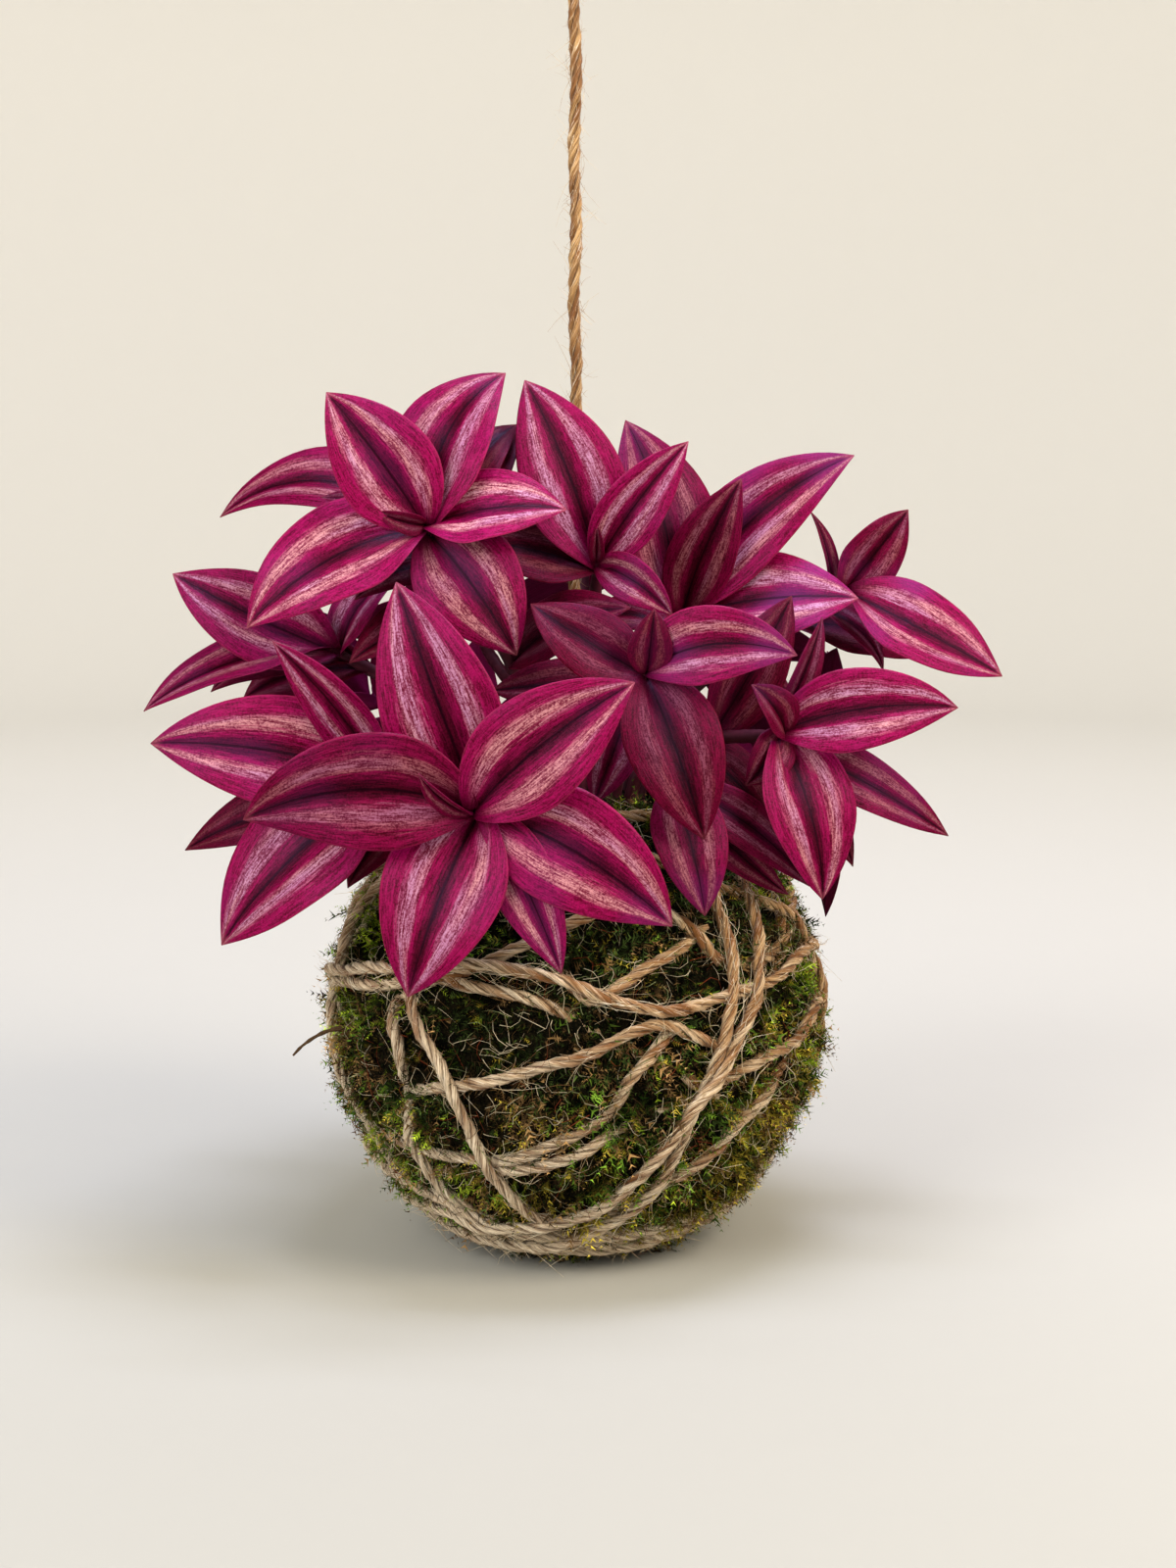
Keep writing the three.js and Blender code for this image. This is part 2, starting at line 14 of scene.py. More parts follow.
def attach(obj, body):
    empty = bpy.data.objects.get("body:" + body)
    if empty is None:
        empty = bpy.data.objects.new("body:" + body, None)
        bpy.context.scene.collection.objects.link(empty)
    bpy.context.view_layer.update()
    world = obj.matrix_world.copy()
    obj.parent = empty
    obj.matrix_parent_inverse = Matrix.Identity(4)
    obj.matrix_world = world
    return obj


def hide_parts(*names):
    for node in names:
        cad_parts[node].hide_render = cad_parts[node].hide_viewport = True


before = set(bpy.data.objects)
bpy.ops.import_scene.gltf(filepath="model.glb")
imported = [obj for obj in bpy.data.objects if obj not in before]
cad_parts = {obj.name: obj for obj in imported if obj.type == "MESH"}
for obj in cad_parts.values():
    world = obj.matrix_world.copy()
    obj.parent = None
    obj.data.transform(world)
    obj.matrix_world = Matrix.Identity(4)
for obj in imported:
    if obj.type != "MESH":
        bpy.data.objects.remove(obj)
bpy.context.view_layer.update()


# Soil core
# A ball of damp peat and clay, kneaded by hand round the roots. Only its crumbly top shows, in the neck of
# the moss between the stems.

BALL_CENTRE = np.array([0.0, 0.0, 55.0])
SOIL_RADIUS = 52.4
CRUMB_COUNT = 420
CRUMB_SPREAD = 21.0
CRUMB_SIZES = (0.5, 1.7)
CRUMB_LIFT = 0.3


def paint(red, green, blue):
    """A colour as a screen shows it, 0 to 255, in the linear values that a shader takes."""
    linear = [(c / 255 / 12.92) if c < 11 else ((c / 255 + 0.055) / 1.055) ** 2.4 for c in (red, green, blue)]
    return (*linear, 1.0)


class Field:
    """What varies over a surface: a socket in a finish's nodes, which Python's operators join to others."""

    def __init__(self, finish, socket):
        self.finish = finish
        self.socket = socket

    def maths(self, operation, *values):
        return self.finish.node("ShaderNodeMath", {"operation": operation}, dict(enumerate(values)))

    def __add__(self, other):
        return self.maths("ADD", self, other)

    def __radd__(self, other):
        return self.maths("ADD", other, self)

    def __sub__(self, other):
        return self.maths("SUBTRACT", self, other)

    def __rsub__(self, other):
        return self.maths("SUBTRACT", other, self)

    def __mul__(self, other):
        return self.maths("MULTIPLY", self, other)

    def __rmul__(self, other):
        return self.maths("MULTIPLY", other, self)

    def __abs__(self):
        return self.maths("ABSOLUTE", self)


class Finish:
    """A procedural material. What is the same all over is given first, by the shader's socket names."""

    def __init__(self, name, constants):
        self.material = bpy.data.materials.new(name)
        self.material.use_nodes = True
        self.tree = self.material.node_tree
        self.shader = self.tree.nodes["Principled BSDF"]
        for label, value in constants.items():
            self.shader.inputs[label].default_value = value

    def node(self, kind, settings=None, sockets=None, output=0):
        made = self.tree.nodes.new(kind)
        for name, value in (settings or {}).items():
            if name == "stops":
                ramp = made.color_ramp.elements
                ramp.remove(ramp[1])
                ramp[0].position, ramp[0].color = value[0]
                for place, colour in value[1:]:
                    ramp.new(place).color = colour
            else:
                setattr(made, name, value)
        for key, value in (sockets or {}).items():
            if isinstance(value, Field):
                self.tree.links.new(value.socket, made.inputs[key])
            else:
                made.inputs[key].default_value = value
        return Field(self, made.outputs[output])

    def place(self):
        """The point on the surface, in metres."""
        return self.node("ShaderNodeTexCoord", output=3)

    def attribute(self, name, output=1):
        return self.node("ShaderNodeAttribute", {"attribute_name": name}, output=output)

    def parts(self, vector):
        """The three numbers of a vector."""
        split = self.node("ShaderNodeSeparateXYZ", None, {0: vector})
        return [Field(self, socket) for socket in split.socket.node.outputs]

    def stretched(self, vector, factors):
        return self.node("ShaderNodeVectorMath", {"operation": "MULTIPLY"}, {0: vector, 1: factors})

    def grain(self, vector, scale, detail=2.0, roughness=0.5):
        sockets = {"Vector": vector, "Scale": scale, "Detail": detail, "Roughness": roughness}
        return self.node("ShaderNodeTexNoise", None, sockets)

    def step(self, value, low, high):
        """0 below low and 1 above high, with a soft edge between them."""
        sockets = {"Value": value, "From Min": low, "From Max": high}
        return self.node("ShaderNodeMapRange", {"interpolation_type": "SMOOTHSTEP"}, sockets)

    def mix(self, share, first, second, blend="MIX"):
        settings = {"data_type": "RGBA", "blend_type": blend}
        return self.node("ShaderNodeMix", settings, {0: share, 6: first, 7: second}, output=2)

    def feed(self, **sockets):
        """Links fields to the shader's sockets, whose names are given with _ for each space."""
        for label, value in sockets.items():
            self.tree.links.new(value.socket, self.shader.inputs[label.replace("_", " ")])

    def bump(self, height, depth, strength=1.0):
        """Raises the surface by the height field, whose 1 stands that many millimetres high."""
        sockets = {"Height": height, "Distance": depth / 1000, "Strength": strength}
        self.feed(Normal=self.node("ShaderNodeBump", None, sockets))


def unit(vectors):
    return vectors / np.linalg.norm(vectors, axis=-1, keepdims=True)


def make_mesh(name, points, faces, finishes):
    """A smooth mesh from points in millimetres and faces that all have as many corners."""
    faces = np.asarray(faces, np.int32)
    mesh = bpy.data.meshes.new(name)
    mesh.vertices.add(len(points))
    mesh.vertices.foreach_set("co", (np.asarray(points) / 1000).astype(np.float32).ravel())
    mesh.loops.add(faces.size)
    mesh.loops.foreach_set("vertex_index", faces.ravel())
    mesh.polygons.add(len(faces))
    mesh.polygons.foreach_set("loop_start", np.arange(0, faces.size, faces.shape[1], dtype=np.int32))
    mesh.polygons.foreach_set("use_smooth", np.ones(len(faces), bool))
    for finish in finishes:
        mesh.materials.append(finish.material)
    return mesh


def add_object(name, data):
    made = bpy.data.objects.new(name, data)
    bpy.context.scene.collection.objects.link(made)
    return made


ATTRIBUTES = {1: ("FLOAT", "value"), 3: ("FLOAT_VECTOR", "vector"), 4: ("FLOAT_COLOR", "color")}


def make_piece(name, points, faces, finishes, slot, values=None, finish_of_face=None):
    """A piece of the object, with the values that its finishes read at each point."""
    mesh = make_mesh(name, points, faces, finishes)
    if finish_of_face is not None:
        mesh.polygons.foreach_set("material_index", finish_of_face.astype(np.int32))
    for label, value in (values or {}).items():
        kind, field = ATTRIBUTES[np.size(value) // len(points)]
        data = mesh.attributes.new(label, kind, "POINT").data
        data.foreach_set(field, np.asarray(value, np.float32).ravel())
    mesh.update(calc_edges=True)
    piece = add_object(name, mesh)
    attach(piece, "root")
    return piece


def gathered(groups):
    """Joins several (points, faces) into one, with the faces' corners counted on."""
    points, faces, start = [], [], 0
    for some_points, some_faces in groups:
        points.append(some_points)
        faces.append(some_faces + start)
        start += len(some_points)
    return np.concatenate(points), np.concatenate(faces)


def lumps(centres, sizes, chance):
    """Small uneven stones or crumbs: an octahedron split once, with its corners pushed in and out."""
    corners = np.array([[1, 0, 0], [-1, 0, 0], [0, 1, 0], [0, -1, 0], [0, 0, 1], [0, 0, -1]], float)
    eighths = [(a, b, c) for a in (0, 1) for b in (2, 3) for c in (4, 5)]
    middles = {}
    points = list(corners)
    faces = []
    for a, b, c in eighths:
        if np.linalg.det(corners[[a, b, c]]) < 0:
            a, b = b, a
        halves = []
        for pair in ((a, b), (b, c), (c, a)):
            key = tuple(sorted(pair))
            if key not in middles:
                middles[key] = len(points)
                points.append(unit(corners[pair[0]] + corners[pair[1]]))
            halves.append(middles[key])
        ab, bc, ca = halves
        faces += [(a, ab, ca), (ab, b, bc), (ca, bc, c), (ab, bc, ca)]
    shape = np.array(points)
    push = chance.uniform(0.65, 1.25, (len(centres), len(shape), 1))
    flat = chance.uniform(0.55, 1.0, (len(centres), 1, 3))
    all_points = centres[:, None] + sizes[:, None, None] * shape[None] * push * flat
    starts = np.arange(len(centres)) * len(shape)
    all_faces = np.array(faces)[None] + starts[:, None, None]
    return all_points.reshape(-1, 3), all_faces.reshape(-1, 3)


soil = Finish("damp soil", {"Roughness": 0.95, "Specular IOR Level": 0.05})
soil_clods = soil.grain(soil.place(), 900.0, 4.0, 0.65)
soil_specks = soil.grain(soil.place(), 2600.0, 2.0)
soil_colour = soil.mix(soil.step(soil_clods, 0.35, 0.68), paint(14, 10, 7), paint(46, 34, 24))
soil.feed(Base_Color=soil.mix(soil.step(soil_specks, 0.62, 0.72), soil_colour, paint(84, 68, 50)))
soil.bump(soil_clods, 0.8)

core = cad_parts["soil_core"]
core.data.materials.clear()
core.data.materials.append(soil.material)

chance = np.random.default_rng(11)
crumb_reach = CRUMB_SPREAD * np.sqrt(chance.uniform(0, 1, CRUMB_COUNT))
crumb_turn = chance.uniform(0, 2 * np.pi, CRUMB_COUNT)
crumb_x = crumb_reach * np.cos(crumb_turn)
crumb_y = crumb_reach * np.sin(crumb_turn)
crumb_z = BALL_CENTRE[2] + np.sqrt(SOIL_RADIUS**2 - crumb_x**2 - crumb_y**2)
crumbs = np.stack([crumb_x, crumb_y, crumb_z + CRUMB_LIFT], 1)
make_piece("soil_crumbs", *lumps(crumbs, chance.uniform(*CRUMB_SIZES, CRUMB_COUNT), chance), [soil], "soil")


# Moss skin
# Sheets of carpet moss laid round the soil and pressed on by hand, open at the neck and pressed flat where
# the ball stands. This is the matted brown bed of old growth that the living tips stand on, painted almost
# black as the shade deep between them.

MOSS_RADIUS = 57.3
BED_SINK = 1.0
MOSS_LUMPS = 2.1
MOSS_TUFTS = 0.9
NECK_LATITUDE = 66.3
NECK_LIP = 1.5
BED_AROUND = 160
BED_DOWN = 96
# The bed's tones, almost black: old growth painted dark as the shade deep between the sprigs.
BED_SHADE_TONES = {0.30: (5, 5, 3), 0.48: (14, 14, 7), 0.60: (30, 25, 15), 0.75: (30, 37, 13)}


def facing(azimuth, latitude):
    """The way out from the ball's middle: azimuth 0 faces the viewer, 90 the right, and latitude 90 up."""
    a, b = np.broadcast_arrays(np.radians(azimuth), np.radians(latitude))
    return np.stack([np.sin(a) * np.cos(b), -np.cos(a) * np.cos(b), np.sin(b)], -1)


def mottle(ways, scale, shift=0.0):
    """Soft random highs and lows over the ball, within -1 to 1."""
    return np.array([noise.noise(way * scale + shift) for way in ways])


def moss_reach(ways):
    """How far from the middle the bed of moss lies, each way."""
    flat = ways.reshape(-1, 3)
    broad = np.array([noise.fractal(way * 4.0, 0.8, 2.1, 3) for way in flat])
    reach = MOSS_RADIUS - BED_SINK + MOSS_LUMPS * broad + MOSS_TUFTS * mottle(flat, 15.0)
    return reach.reshape(ways.shape[:-1])


def squares(rows, columns, ring=False):
    """The squares of a grid of points, in rows that may each close into a ring."""
    index = np.arange(rows * columns).reshape(rows, columns)
    right = np.roll(index, -1, 1)
    corners = np.stack([index[:-1], right[:-1], right[1:], index[1:]], -1)
    return (corners if ring else corners[:, :-1]).reshape(-1, 4)


bed_latitudes = np.concatenate([np.linspace(-90, NECK_LATITUDE, BED_DOWN), [NECK_LATITUDE] * 2])
bed_azimuths = np.linspace(0, 360, BED_AROUND, endpoint=False)
bed_ways = facing(bed_azimuths[None, :], bed_latitudes[:, None])
bed_reach = moss_reach(bed_ways)
bed_reach[-2] -= NECK_LIP
bed_reach[-1] = SOIL_RADIUS - BED_SINK
bed_points = (BALL_CENTRE + bed_ways * bed_reach[..., None]).reshape(-1, 3)
bed_points[:, 2] = np.maximum(bed_points[:, 2], 0.0)

bed = Finish("matted moss", {"Roughness": 0.95, "Specular IOR Level": 0.04})
bed_mat = bed.grain(bed.place(), 420.0, 5.0, 0.7)
bed_fine = bed.grain(bed.place(), 1900.0, 3.0, 0.7)
# Painted shade: the bed's near-black tones stand for the shade between the sprigs.
bed_stops = [(place, paint(*tone)) for place, tone in BED_SHADE_TONES.items()]
bed_colour = bed.node("ShaderNodeValToRGB", {"stops": bed_stops}, {0: bed_mat})
bed.feed(Base_Color=bed.mix(bed.step(bed_fine, 0.55, 0.7), bed_colour, paint(58, 48, 30)))
bed.bump(bed_mat * 0.6 + bed_fine * 0.4, 1.6)

moss_bed = make_piece("moss_bed", bed_points, squares(len(bed_latitudes), BED_AROUND, True), [bed], "moss")
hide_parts("moss_skin")


# Jute binding
# One long jute twine of three plies, wound round the moss in many turns until it holds, then taken round the
# neck as a collar, over it as a bridle and tied in a knot.

TWINE_DIAMETER = 3.1
WRAP_RADIUS = 59.9
PLY_RADIUS = 0.88
PLY_OFFSET = 0.64
LAY_LENGTH = 16.0
PLY_SIDES = 6
PLY_SWELL = 0.13
PLY_UNEVEN = 0.08
STREAK_SHIFT = 61.0
TWINE_SWAY = 0.28
SWAY_LENGTHS = (19.0, 31.0)
SPAN_POINTS = 24
TURN_POINTS = 320
TURN_STEP = LAY_LENGTH / 10.5
KNOT_STEP = LAY_LENGTH / 11
CROSSING_RISE = 1.1
CROSSING_SINK = 0.8
CROSSING_WIDTH = 3.0
CROSSING_LEVEL = 1.6
CROSSING_EASE = 5
HIDDEN_DEPTH = 4.2
TURNS_UNDER = 8
COLLAR_LATITUDE = 59
BRIDLE_Y = 3.0
BRIDLE_ARCH = 0.55
LOOP_POINTS = 90
KNOT_HEIGHT = 124.0
KNOT_SIZE = (0.95, 1.25, 0.85)
KNOT_UP = (0.05, 1.0, 0.02)

# The turns, the lowest first. Each point is [azimuth, latitude, mm that the twine is sunk in the moss there]:
# the hands pressed most of it in, and from about 4 mm down nothing of it shows.
TURNS = [
    [
        [-55, 48, 2], [-47, 14, 4.8], [-46, 7, 1.5], [-43, 2, 1.3], [-42, -3, 1.6], [-42, -12, 3.4],
        [-44, -22, 1.9], [-41, -33, 1.6], [-34, -42, 1.6], [-10, -52, 1.4], [60, -53, 1.5], [128, -35, 1.5],
        [142, 5, 1.5], [155, 40, 1.5], [235, 51, 1.5],
    ],
    [
        [-45, -39, 1.6], [-20, -48, 1.2], [10, -51, 1.3], [60, -46, 2.6], [110, -30, 1.5], [160, -21, 1.5],
        [210, -28, 1.5], [265, -34, 1.6],
    ],
    [
        [72, 4, 1.0], [62, 0, 0.9], [53, -1, 0.9], [45, -3, 1.3], [38, -5, 2.6], [30, -8, 4.8],
        [15, -14, 4.8], [3, -19, 1.5], [-6, -23, 1.2], [-16, -26, 1.7], [-25, -28, 4.2], [-50, -33, 4.8],
        [-95, -34, 1.8], [-140, -22, 1.5], [-178, -6, 1.5], [145, 5, 1.5], [108, 6, 1.3],
    ],
    [
        [-18, -23, 2.2], [-9, -20, 1.6], [-2, -17, 1.9], [8, -12, 4.8], [12, -3, 1.5], [18, 3, 1.6],
        [26, 10, 4.8], [58, 22, 4.8], [100, 30, 1.6], [150, 14, 1.6], [200, -10, 1.6], [245, -24, 1.6],
        [285, -24, 4.8],
    ],
    [
        [-70, 2, 4.8], [-45, 12, 4.4], [-36, 17, 1.6], [-24, 17, 1.3], [-14, 16, 1.7], [-5, 13, 3.6],
        [10, 5, 4.8], [32, -8, 4.8], [60, -22, 4.8], [100, -28, 1.8], [150, -20, 1.6], [200, 0, 1.6],
        [240, 8, 1.6],
    ],
    [
        [-12, -55, 1.8], [8, -45, 3.0], [20, -35, 2.2], [29, -28, 1.7], [38, -21, 1.6], [44, -16, 1.8],
        [51, -12, 2.2], [62, -5, 4.6], [90, 10, 2.2], [130, 20, 1.6], [175, 10, 1.6], [225, -10, 1.6],
        [265, -36, 1.8],
    ],
    [
        [15, 51, 2], [48, 38, 2.4], [62, 31, 0.9], [73, 26, 0.9], [81, 17, 1.0], [84, 6, 0.9],
        [85, -6, 1.2], [90, -20, 3.0], [105, -42, 1.6], [195, -50, 1.5], [255, -32, 1.5], [262, 8, 1.4],
        [280, 44, 1.5],
    ],
    [
        [-90, -18, 2.4], [-60, -13, 4.8], [-42, -9, 4.4], [-32, -7, 1.9], [-18, -3, 1.3], [-8, 0, 1.5],
        [3, 3, 0.8], [10, 7, 0.4], [17, 9, 0.6], [22, 8, 0.9], [28, 5, 1.5], [36, 3, 2.8], [50, 10, 4.8],
        [88, 30, 1.8], [130, 24, 1.5], [175, 2, 1.5], [225, -16, 1.6],
    ],
    [
        [-70, 30, 4.0], [-30, 40, 1.6], [4, 15, 3.0], [9, 17, 1.1], [17, 21, 0.4], [24, 24, 0.7],
        [30, 27, 2.2], [45, 34, 4.8], [90, 42, 1.8], [130, 32, 1.6], [165, 8, 1.6], [205, -16, 1.6],
        [250, -18, 1.8],
    ],
    [
        [-62, 48, 0.8], [-72, 31, 0.5], [-76, 13, 0.4], [-76, -4, 0.8], [-73, -16, 1.9], [-66, -32, 3.6],
        [-40, -51, 1.6], [40, -53, 1.6], [90, -33, 2.4], [106, 0, 1.4], [118, 34, 1.4], [160, 50, 1.4],
        [215, 54, 1.4], [262, 55, 1.2],
    ],
    [
        [-85, 52, 1.2], [-50, 33, 0.8], [-44, 20, 0.4], [-39, 12, 0.2], [-35, 6, 0.1], [-30, -1, 0.1],
        [-26, -10, 0.2], [-23, -18, 0.3], [-19, -29, 0.4], [-14, -38, 0.9], [2, -48, 2.6], [30, -53, 2.6],
        [80, -50, 1.8], [120, -32, 1.4], [145, 0, 1.4], [168, 38, 1.4], [215, 53, 1.4],
    ],
    [
        [-78, 9, 1.3], [-45, 15, 1.0], [-27, 20, 0.5], [-15, 25, 0.2], [-6, 29, 0.3], [3, 33, 0.4],
        [14, 37, 0.8], [24, 33, 0.5], [31, 28, 0.6], [37, 22, 2.4], [60, 20, 4.8], [90, 40, 2.0],
        [125, 36, 1.4], [165, 10, 1.4], [205, -8, 1.4], [245, -2, 1.4],
    ],
    [
        [-78, 12, 0.6], [-47, 18, 0.5], [-27, 21, 0.3], [-6, 20, 0.1], [7, 15, 0.0], [20, 12, 0.1],
        [34, 13, 0.3], [52, 15, 0.4], [75, 18, 0.5], [95, 16, 1.2], [125, 20, 1.4], [160, 22, 1.4],
        [205, 8, 1.4], [250, 6, 1.2],
    ],
    [
        [46, 48, 1.0], [42, 38, 0.4], [40, 31, 0.2], [39, 23, 0.0], [38, 17, 0.0], [36, 10, 0.1],
        [34, 3, 0.3], [31, -4, 0.5], [27, -12, 0.8], [26, -20, 1.5], [23, -28, 1.8], [17, -37, 1.9],
        [6, -46, 1.8], [-20, -54, 1.5], [-60, -52, 1.3], [-88, -37, 1.4], [-115, -8, 1.4], [-135, 28, 1.4],
        [175, 50, 1.4], [95, 56, 1.2],
    ],
    [
        [68, 50, 1.2], [56, 39, 0.5], [52, 30, 0.2], [50, 24, 0.0], [46, 17, 0.0], [42, 10, 0.0],
        [38, 4, 0.1], [33, -3, 0.2], [27, -9, 0.2], [22, -18, 0.3], [17, -26, 0.4], [11, -32, 0.5],
        [4, -38, 0.6], [-5, -42, 0.6], [-14, -44, 0.6], [-26, -45, 0.8], [-40, -44, 1.3], [-80, -46, 1.5],
        [-125, -34, 1.4], [-142, -5, 1.4], [-155, 36, 1.4], [145, 54, 1.4],
    ],
    [[azimuth, COLLAR_LATITUDE, 0.0] for azimuth in range(0, 360, 45)],
]


def smooth_line(points, steps, closed):
    """A smooth line through the points, with even steps along it."""
    points = np.asarray(points, float)
    if closed:
        padded = np.concatenate([points[-1:], points, points[:2]])
    else:
        padded = np.concatenate([2 * points[:1] - points[1:2], points, 2 * points[-1:] - points[-2:-1]])
    line = []
    t = np.linspace(0, 1, SPAN_POINTS, endpoint=False)[:, None]
    for before, start, end, after in zip(padded, padded[1:], padded[2:], padded[3:]):
        pairs = ((before, start), (start, end), (end, after))
        gaps = [max(np.linalg.norm(b - a), 1e-6) ** 0.5 for a, b in pairs]
        leave = (start - before) / gaps[0] - (end - before) / (gaps[0] + gaps[1]) + (end - start) / gaps[1]
        arrive = (end - start) / gaps[1] - (after - start) / (gaps[1] + gaps[2]) + (after - end) / gaps[2]
        line.append(
            (2 * t**3 - 3 * t**2 + 1) * start + (t**3 - 2 * t**2 + t) * leave * gaps[1]
            + (3 * t**2 - 2 * t**3) * end + (t**3 - t**2) * arrive * gaps[1]
        )
    line = np.concatenate(line)
    line = np.concatenate([line, line[:1] if closed else points[-1:]])
    along = np.concatenate([[0], np.cumsum(np.linalg.norm(np.diff(line, axis=0), axis=1))])
    even = np.linspace(0, along[-1], steps, endpoint=not closed)
    return np.stack([np.interp(even, along, column) for column in line.T], 1)


def tubes(lines, radii, ups, sides, closed=False):
    """Round strands along lines that all have as many points: their points and their faces."""
    ahead = np.roll(lines, -1, 1) - np.roll(lines, 1, 1) if closed else np.gradient(lines, axis=1)
    ahead = unit(ahead)
    out = unit(ups - ahead * np.sum(ups * ahead, -1, keepdims=True))
    across = np.cross(ahead, out)
    angles = 2 * np.pi * np.arange(sides) / sides
    turned = out[:, :, None] * np.cos(angles)[:, None] + across[:, :, None] * np.sin(angles)[:, None]
    ring = lines[:, :, None] + radii[:, :, None, None] * turned
    index = np.arange(ring.size // 3).reshape(ring.shape[:3])
    near, far = (index, np.roll(index, -1, 1)) if closed else (index[:, :-1], index[:, 1:])
    faces = np.stack([near, np.roll(near, -1, 2), np.roll(far, -1, 2), far], -1).reshape(-1, 4)
    return ring.reshape(-1, 3), faces


def twine(line, ups, closed, seed, step=TURN_STEP):
    """Three plies laid round each other: their points and faces, and where each point is on its ply."""
    gaps = np.linalg.norm(np.diff(line, axis=0), axis=1)
    length = gaps.sum() + (np.linalg.norm(line[0] - line[-1]) if closed else 0)
    steps = max(6, int(round(length / step)))
    even = smooth_line(line, steps, closed)
    turns = round(length / LAY_LENGTH) if closed else length / LAY_LENGTH
    place = np.arange(steps) / (steps if closed else steps - 1)
    nearest = np.argmin(np.linalg.norm(even[:, None] - line[None], axis=2), axis=1)
    ahead = unit(np.roll(even, -1, 0) - np.roll(even, 1, 0)) if closed else unit(np.gradient(even, axis=0))
    up = np.broadcast_to(ups, line.shape)[nearest]
    up = unit(up - ahead * np.sum(up * ahead, 1, keepdims=True))
    side = np.cross(ahead, up)
    wander = np.random.default_rng(seed)
    waves = np.maximum(1, np.round(length / np.array(SWAY_LENGTHS)))
    sway = TWINE_SWAY * np.sin(2 * np.pi * waves * place[:, None] + wander.uniform(0, 6.3, 2))
    even = even + up * sway[:, :1] + side * sway[:, 1:]
    corners = np.tile(2 * np.pi * np.arange(PLY_SIDES) / PLY_SIDES, steps)
    groups, marks = [], []
    for ply in range(3):
        angle = 2 * np.pi * (turns * place + ply / 3)
        out = up * np.cos(angle)[:, None] + side * np.sin(angle)[:, None]
        swell = 1 + PLY_SWELL * np.sin(2 * np.pi * (round(turns * 0.8) * place + wander.uniform()))
        radii = PLY_RADIUS * swell * (1 + wander.uniform(-PLY_UNEVEN, PLY_UNEVEN, steps))
        groups.append(tubes((even + PLY_OFFSET * out)[None], radii[None], out[None], PLY_SIDES, closed))
        # Each ply's streaks start at a place of their own.
        along = np.repeat(place * length, PLY_SIDES) + STREAK_SHIFT * (3 * seed + ply)
        marks.append(np.stack([np.cos(corners), np.sin(corners), along], 1))
    return gathered(groups), np.concatenate(marks)


jute = Finish("jute twine", {"Roughness": 0.9, "Specular IOR Level": 0.15, "Sheen Weight": 0.1})
strand = jute.attribute("strand")
fibre_streaks = jute.grain(jute.stretched(strand, (3.2, 3.2, 0.2)), 1.0, 4.0, 0.7)
ply_out = jute.parts(strand)[0]
twine_patches = jute.grain(jute.stretched(strand, (0.15, 0.15, 0.07)), 1.0, 2.0)
twine_x, _, twine_z = jute.parts(jute.place())
# The side that hangs lowest and faces the window is painted paler, as the window's light falling on it, and
# the lamp's side stays golden.
painted_window_light = jute.step(twine_patches * 1.6 - 3.2 * twine_x - 5.0 * twine_z, 0.25, 0.85)
golden = jute.mix(jute.step(twine_patches, 0.35, 0.65), paint(146, 94, 50), paint(226, 182, 124))
twine_body = jute.mix(painted_window_light, golden, paint(242, 222, 190))
twine_body = jute.mix(jute.step(fibre_streaks, 0.32, 0.60), paint(104, 68, 36), twine_body)
# The palest streaks are pale fibres, painted near white as highlights too.
twine_body = jute.mix(jute.step(fibre_streaks, 0.56, 0.72), twine_body, paint(255, 246, 226))
# Painted shade, with dust, darkens the grooves between the plies.
jute.feed(Base_Color=jute.mix(0.85 - 0.85 * jute.step(ply_out, -0.40, 0.35), twine_body, paint(76, 50, 28)))
jute.bump(fibre_streaks, 0.4)

turn_lines, turn_depths = [], []
for turn in TURNS:
    azimuth, latitude, sunk = np.array(turn, float).T
    route = np.concatenate([facing(azimuth, latitude) * WRAP_RADIUS, sunk[:, None]], 1)
    route = smooth_line(route, TURN_POINTS, True)
    turn_lines.append(unit(route[:, :3]))
    turn_depths.append(np.clip(route[:, 3], 0, 5))


def turn_reach(number):
    """How far from the middle a turn lies: over the turns laid before it, and under later ones."""
    ways, depth = turn_lines[number], turn_depths[number]
    reach = WRAP_RADIUS - depth
    for other, (other_ways, other_depth) in enumerate(zip(turn_lines, turn_depths)):
        if other != number:
            apart = WRAP_RADIUS * np.linalg.norm(ways[:, None] - other_ways[None], axis=2)
            nearest = apart.argmin(1)
            nearness = np.exp(-((apart.min(1) / CROSSING_WIDTH) ** 2))
            level = np.clip(CROSSING_LEVEL - np.abs(depth - other_depth[nearest]), 0, 1)
            reach = reach + (CROSSING_RISE if other < number else -CROSSING_SINK) * nearness * level
    window = np.hanning(2 * CROSSING_EASE + 1)
    padded = np.concatenate([reach[-CROSSING_EASE:], reach, reach[:CROSSING_EASE]])
    return np.minimum(np.convolve(padded, window / window.sum(), "valid"), WRAP_RADIUS + CROSSING_RISE)


turns_laid, turn_paths = [], []
for number, ways in enumerate(turn_lines):
    path = BALL_CENTRE + ways * turn_reach(number)[:, None]
    turn_paths.append(path)
    (points, faces), marks = twine(path, ways, True, number)
    shown = np.linalg.norm(points - BALL_CENTRE, axis=1) > WRAP_RADIUS - HIDDEN_DEPTH
    turns_laid.append(((points, faces[shown[faces].any(1)]), marks))

collar_reach = WRAP_RADIUS * math.cos(math.radians(COLLAR_LATITUDE))
collar_height = BALL_CENTRE[2] + WRAP_RADIUS * math.sin(math.radians(COLLAR_LATITUDE))
arch_height = collar_height + BRIDLE_ARCH * (KNOT_HEIGHT - collar_height)
bridle = ((-1, collar_height), (-0.5, arch_height), (0, KNOT_HEIGHT), (0.5, arch_height), (1, collar_height))
bridle = [[share * collar_reach, BRIDLE_Y, height] for share, height in bridle]
bridle_line = smooth_line(bridle, LOOP_POINTS, False)


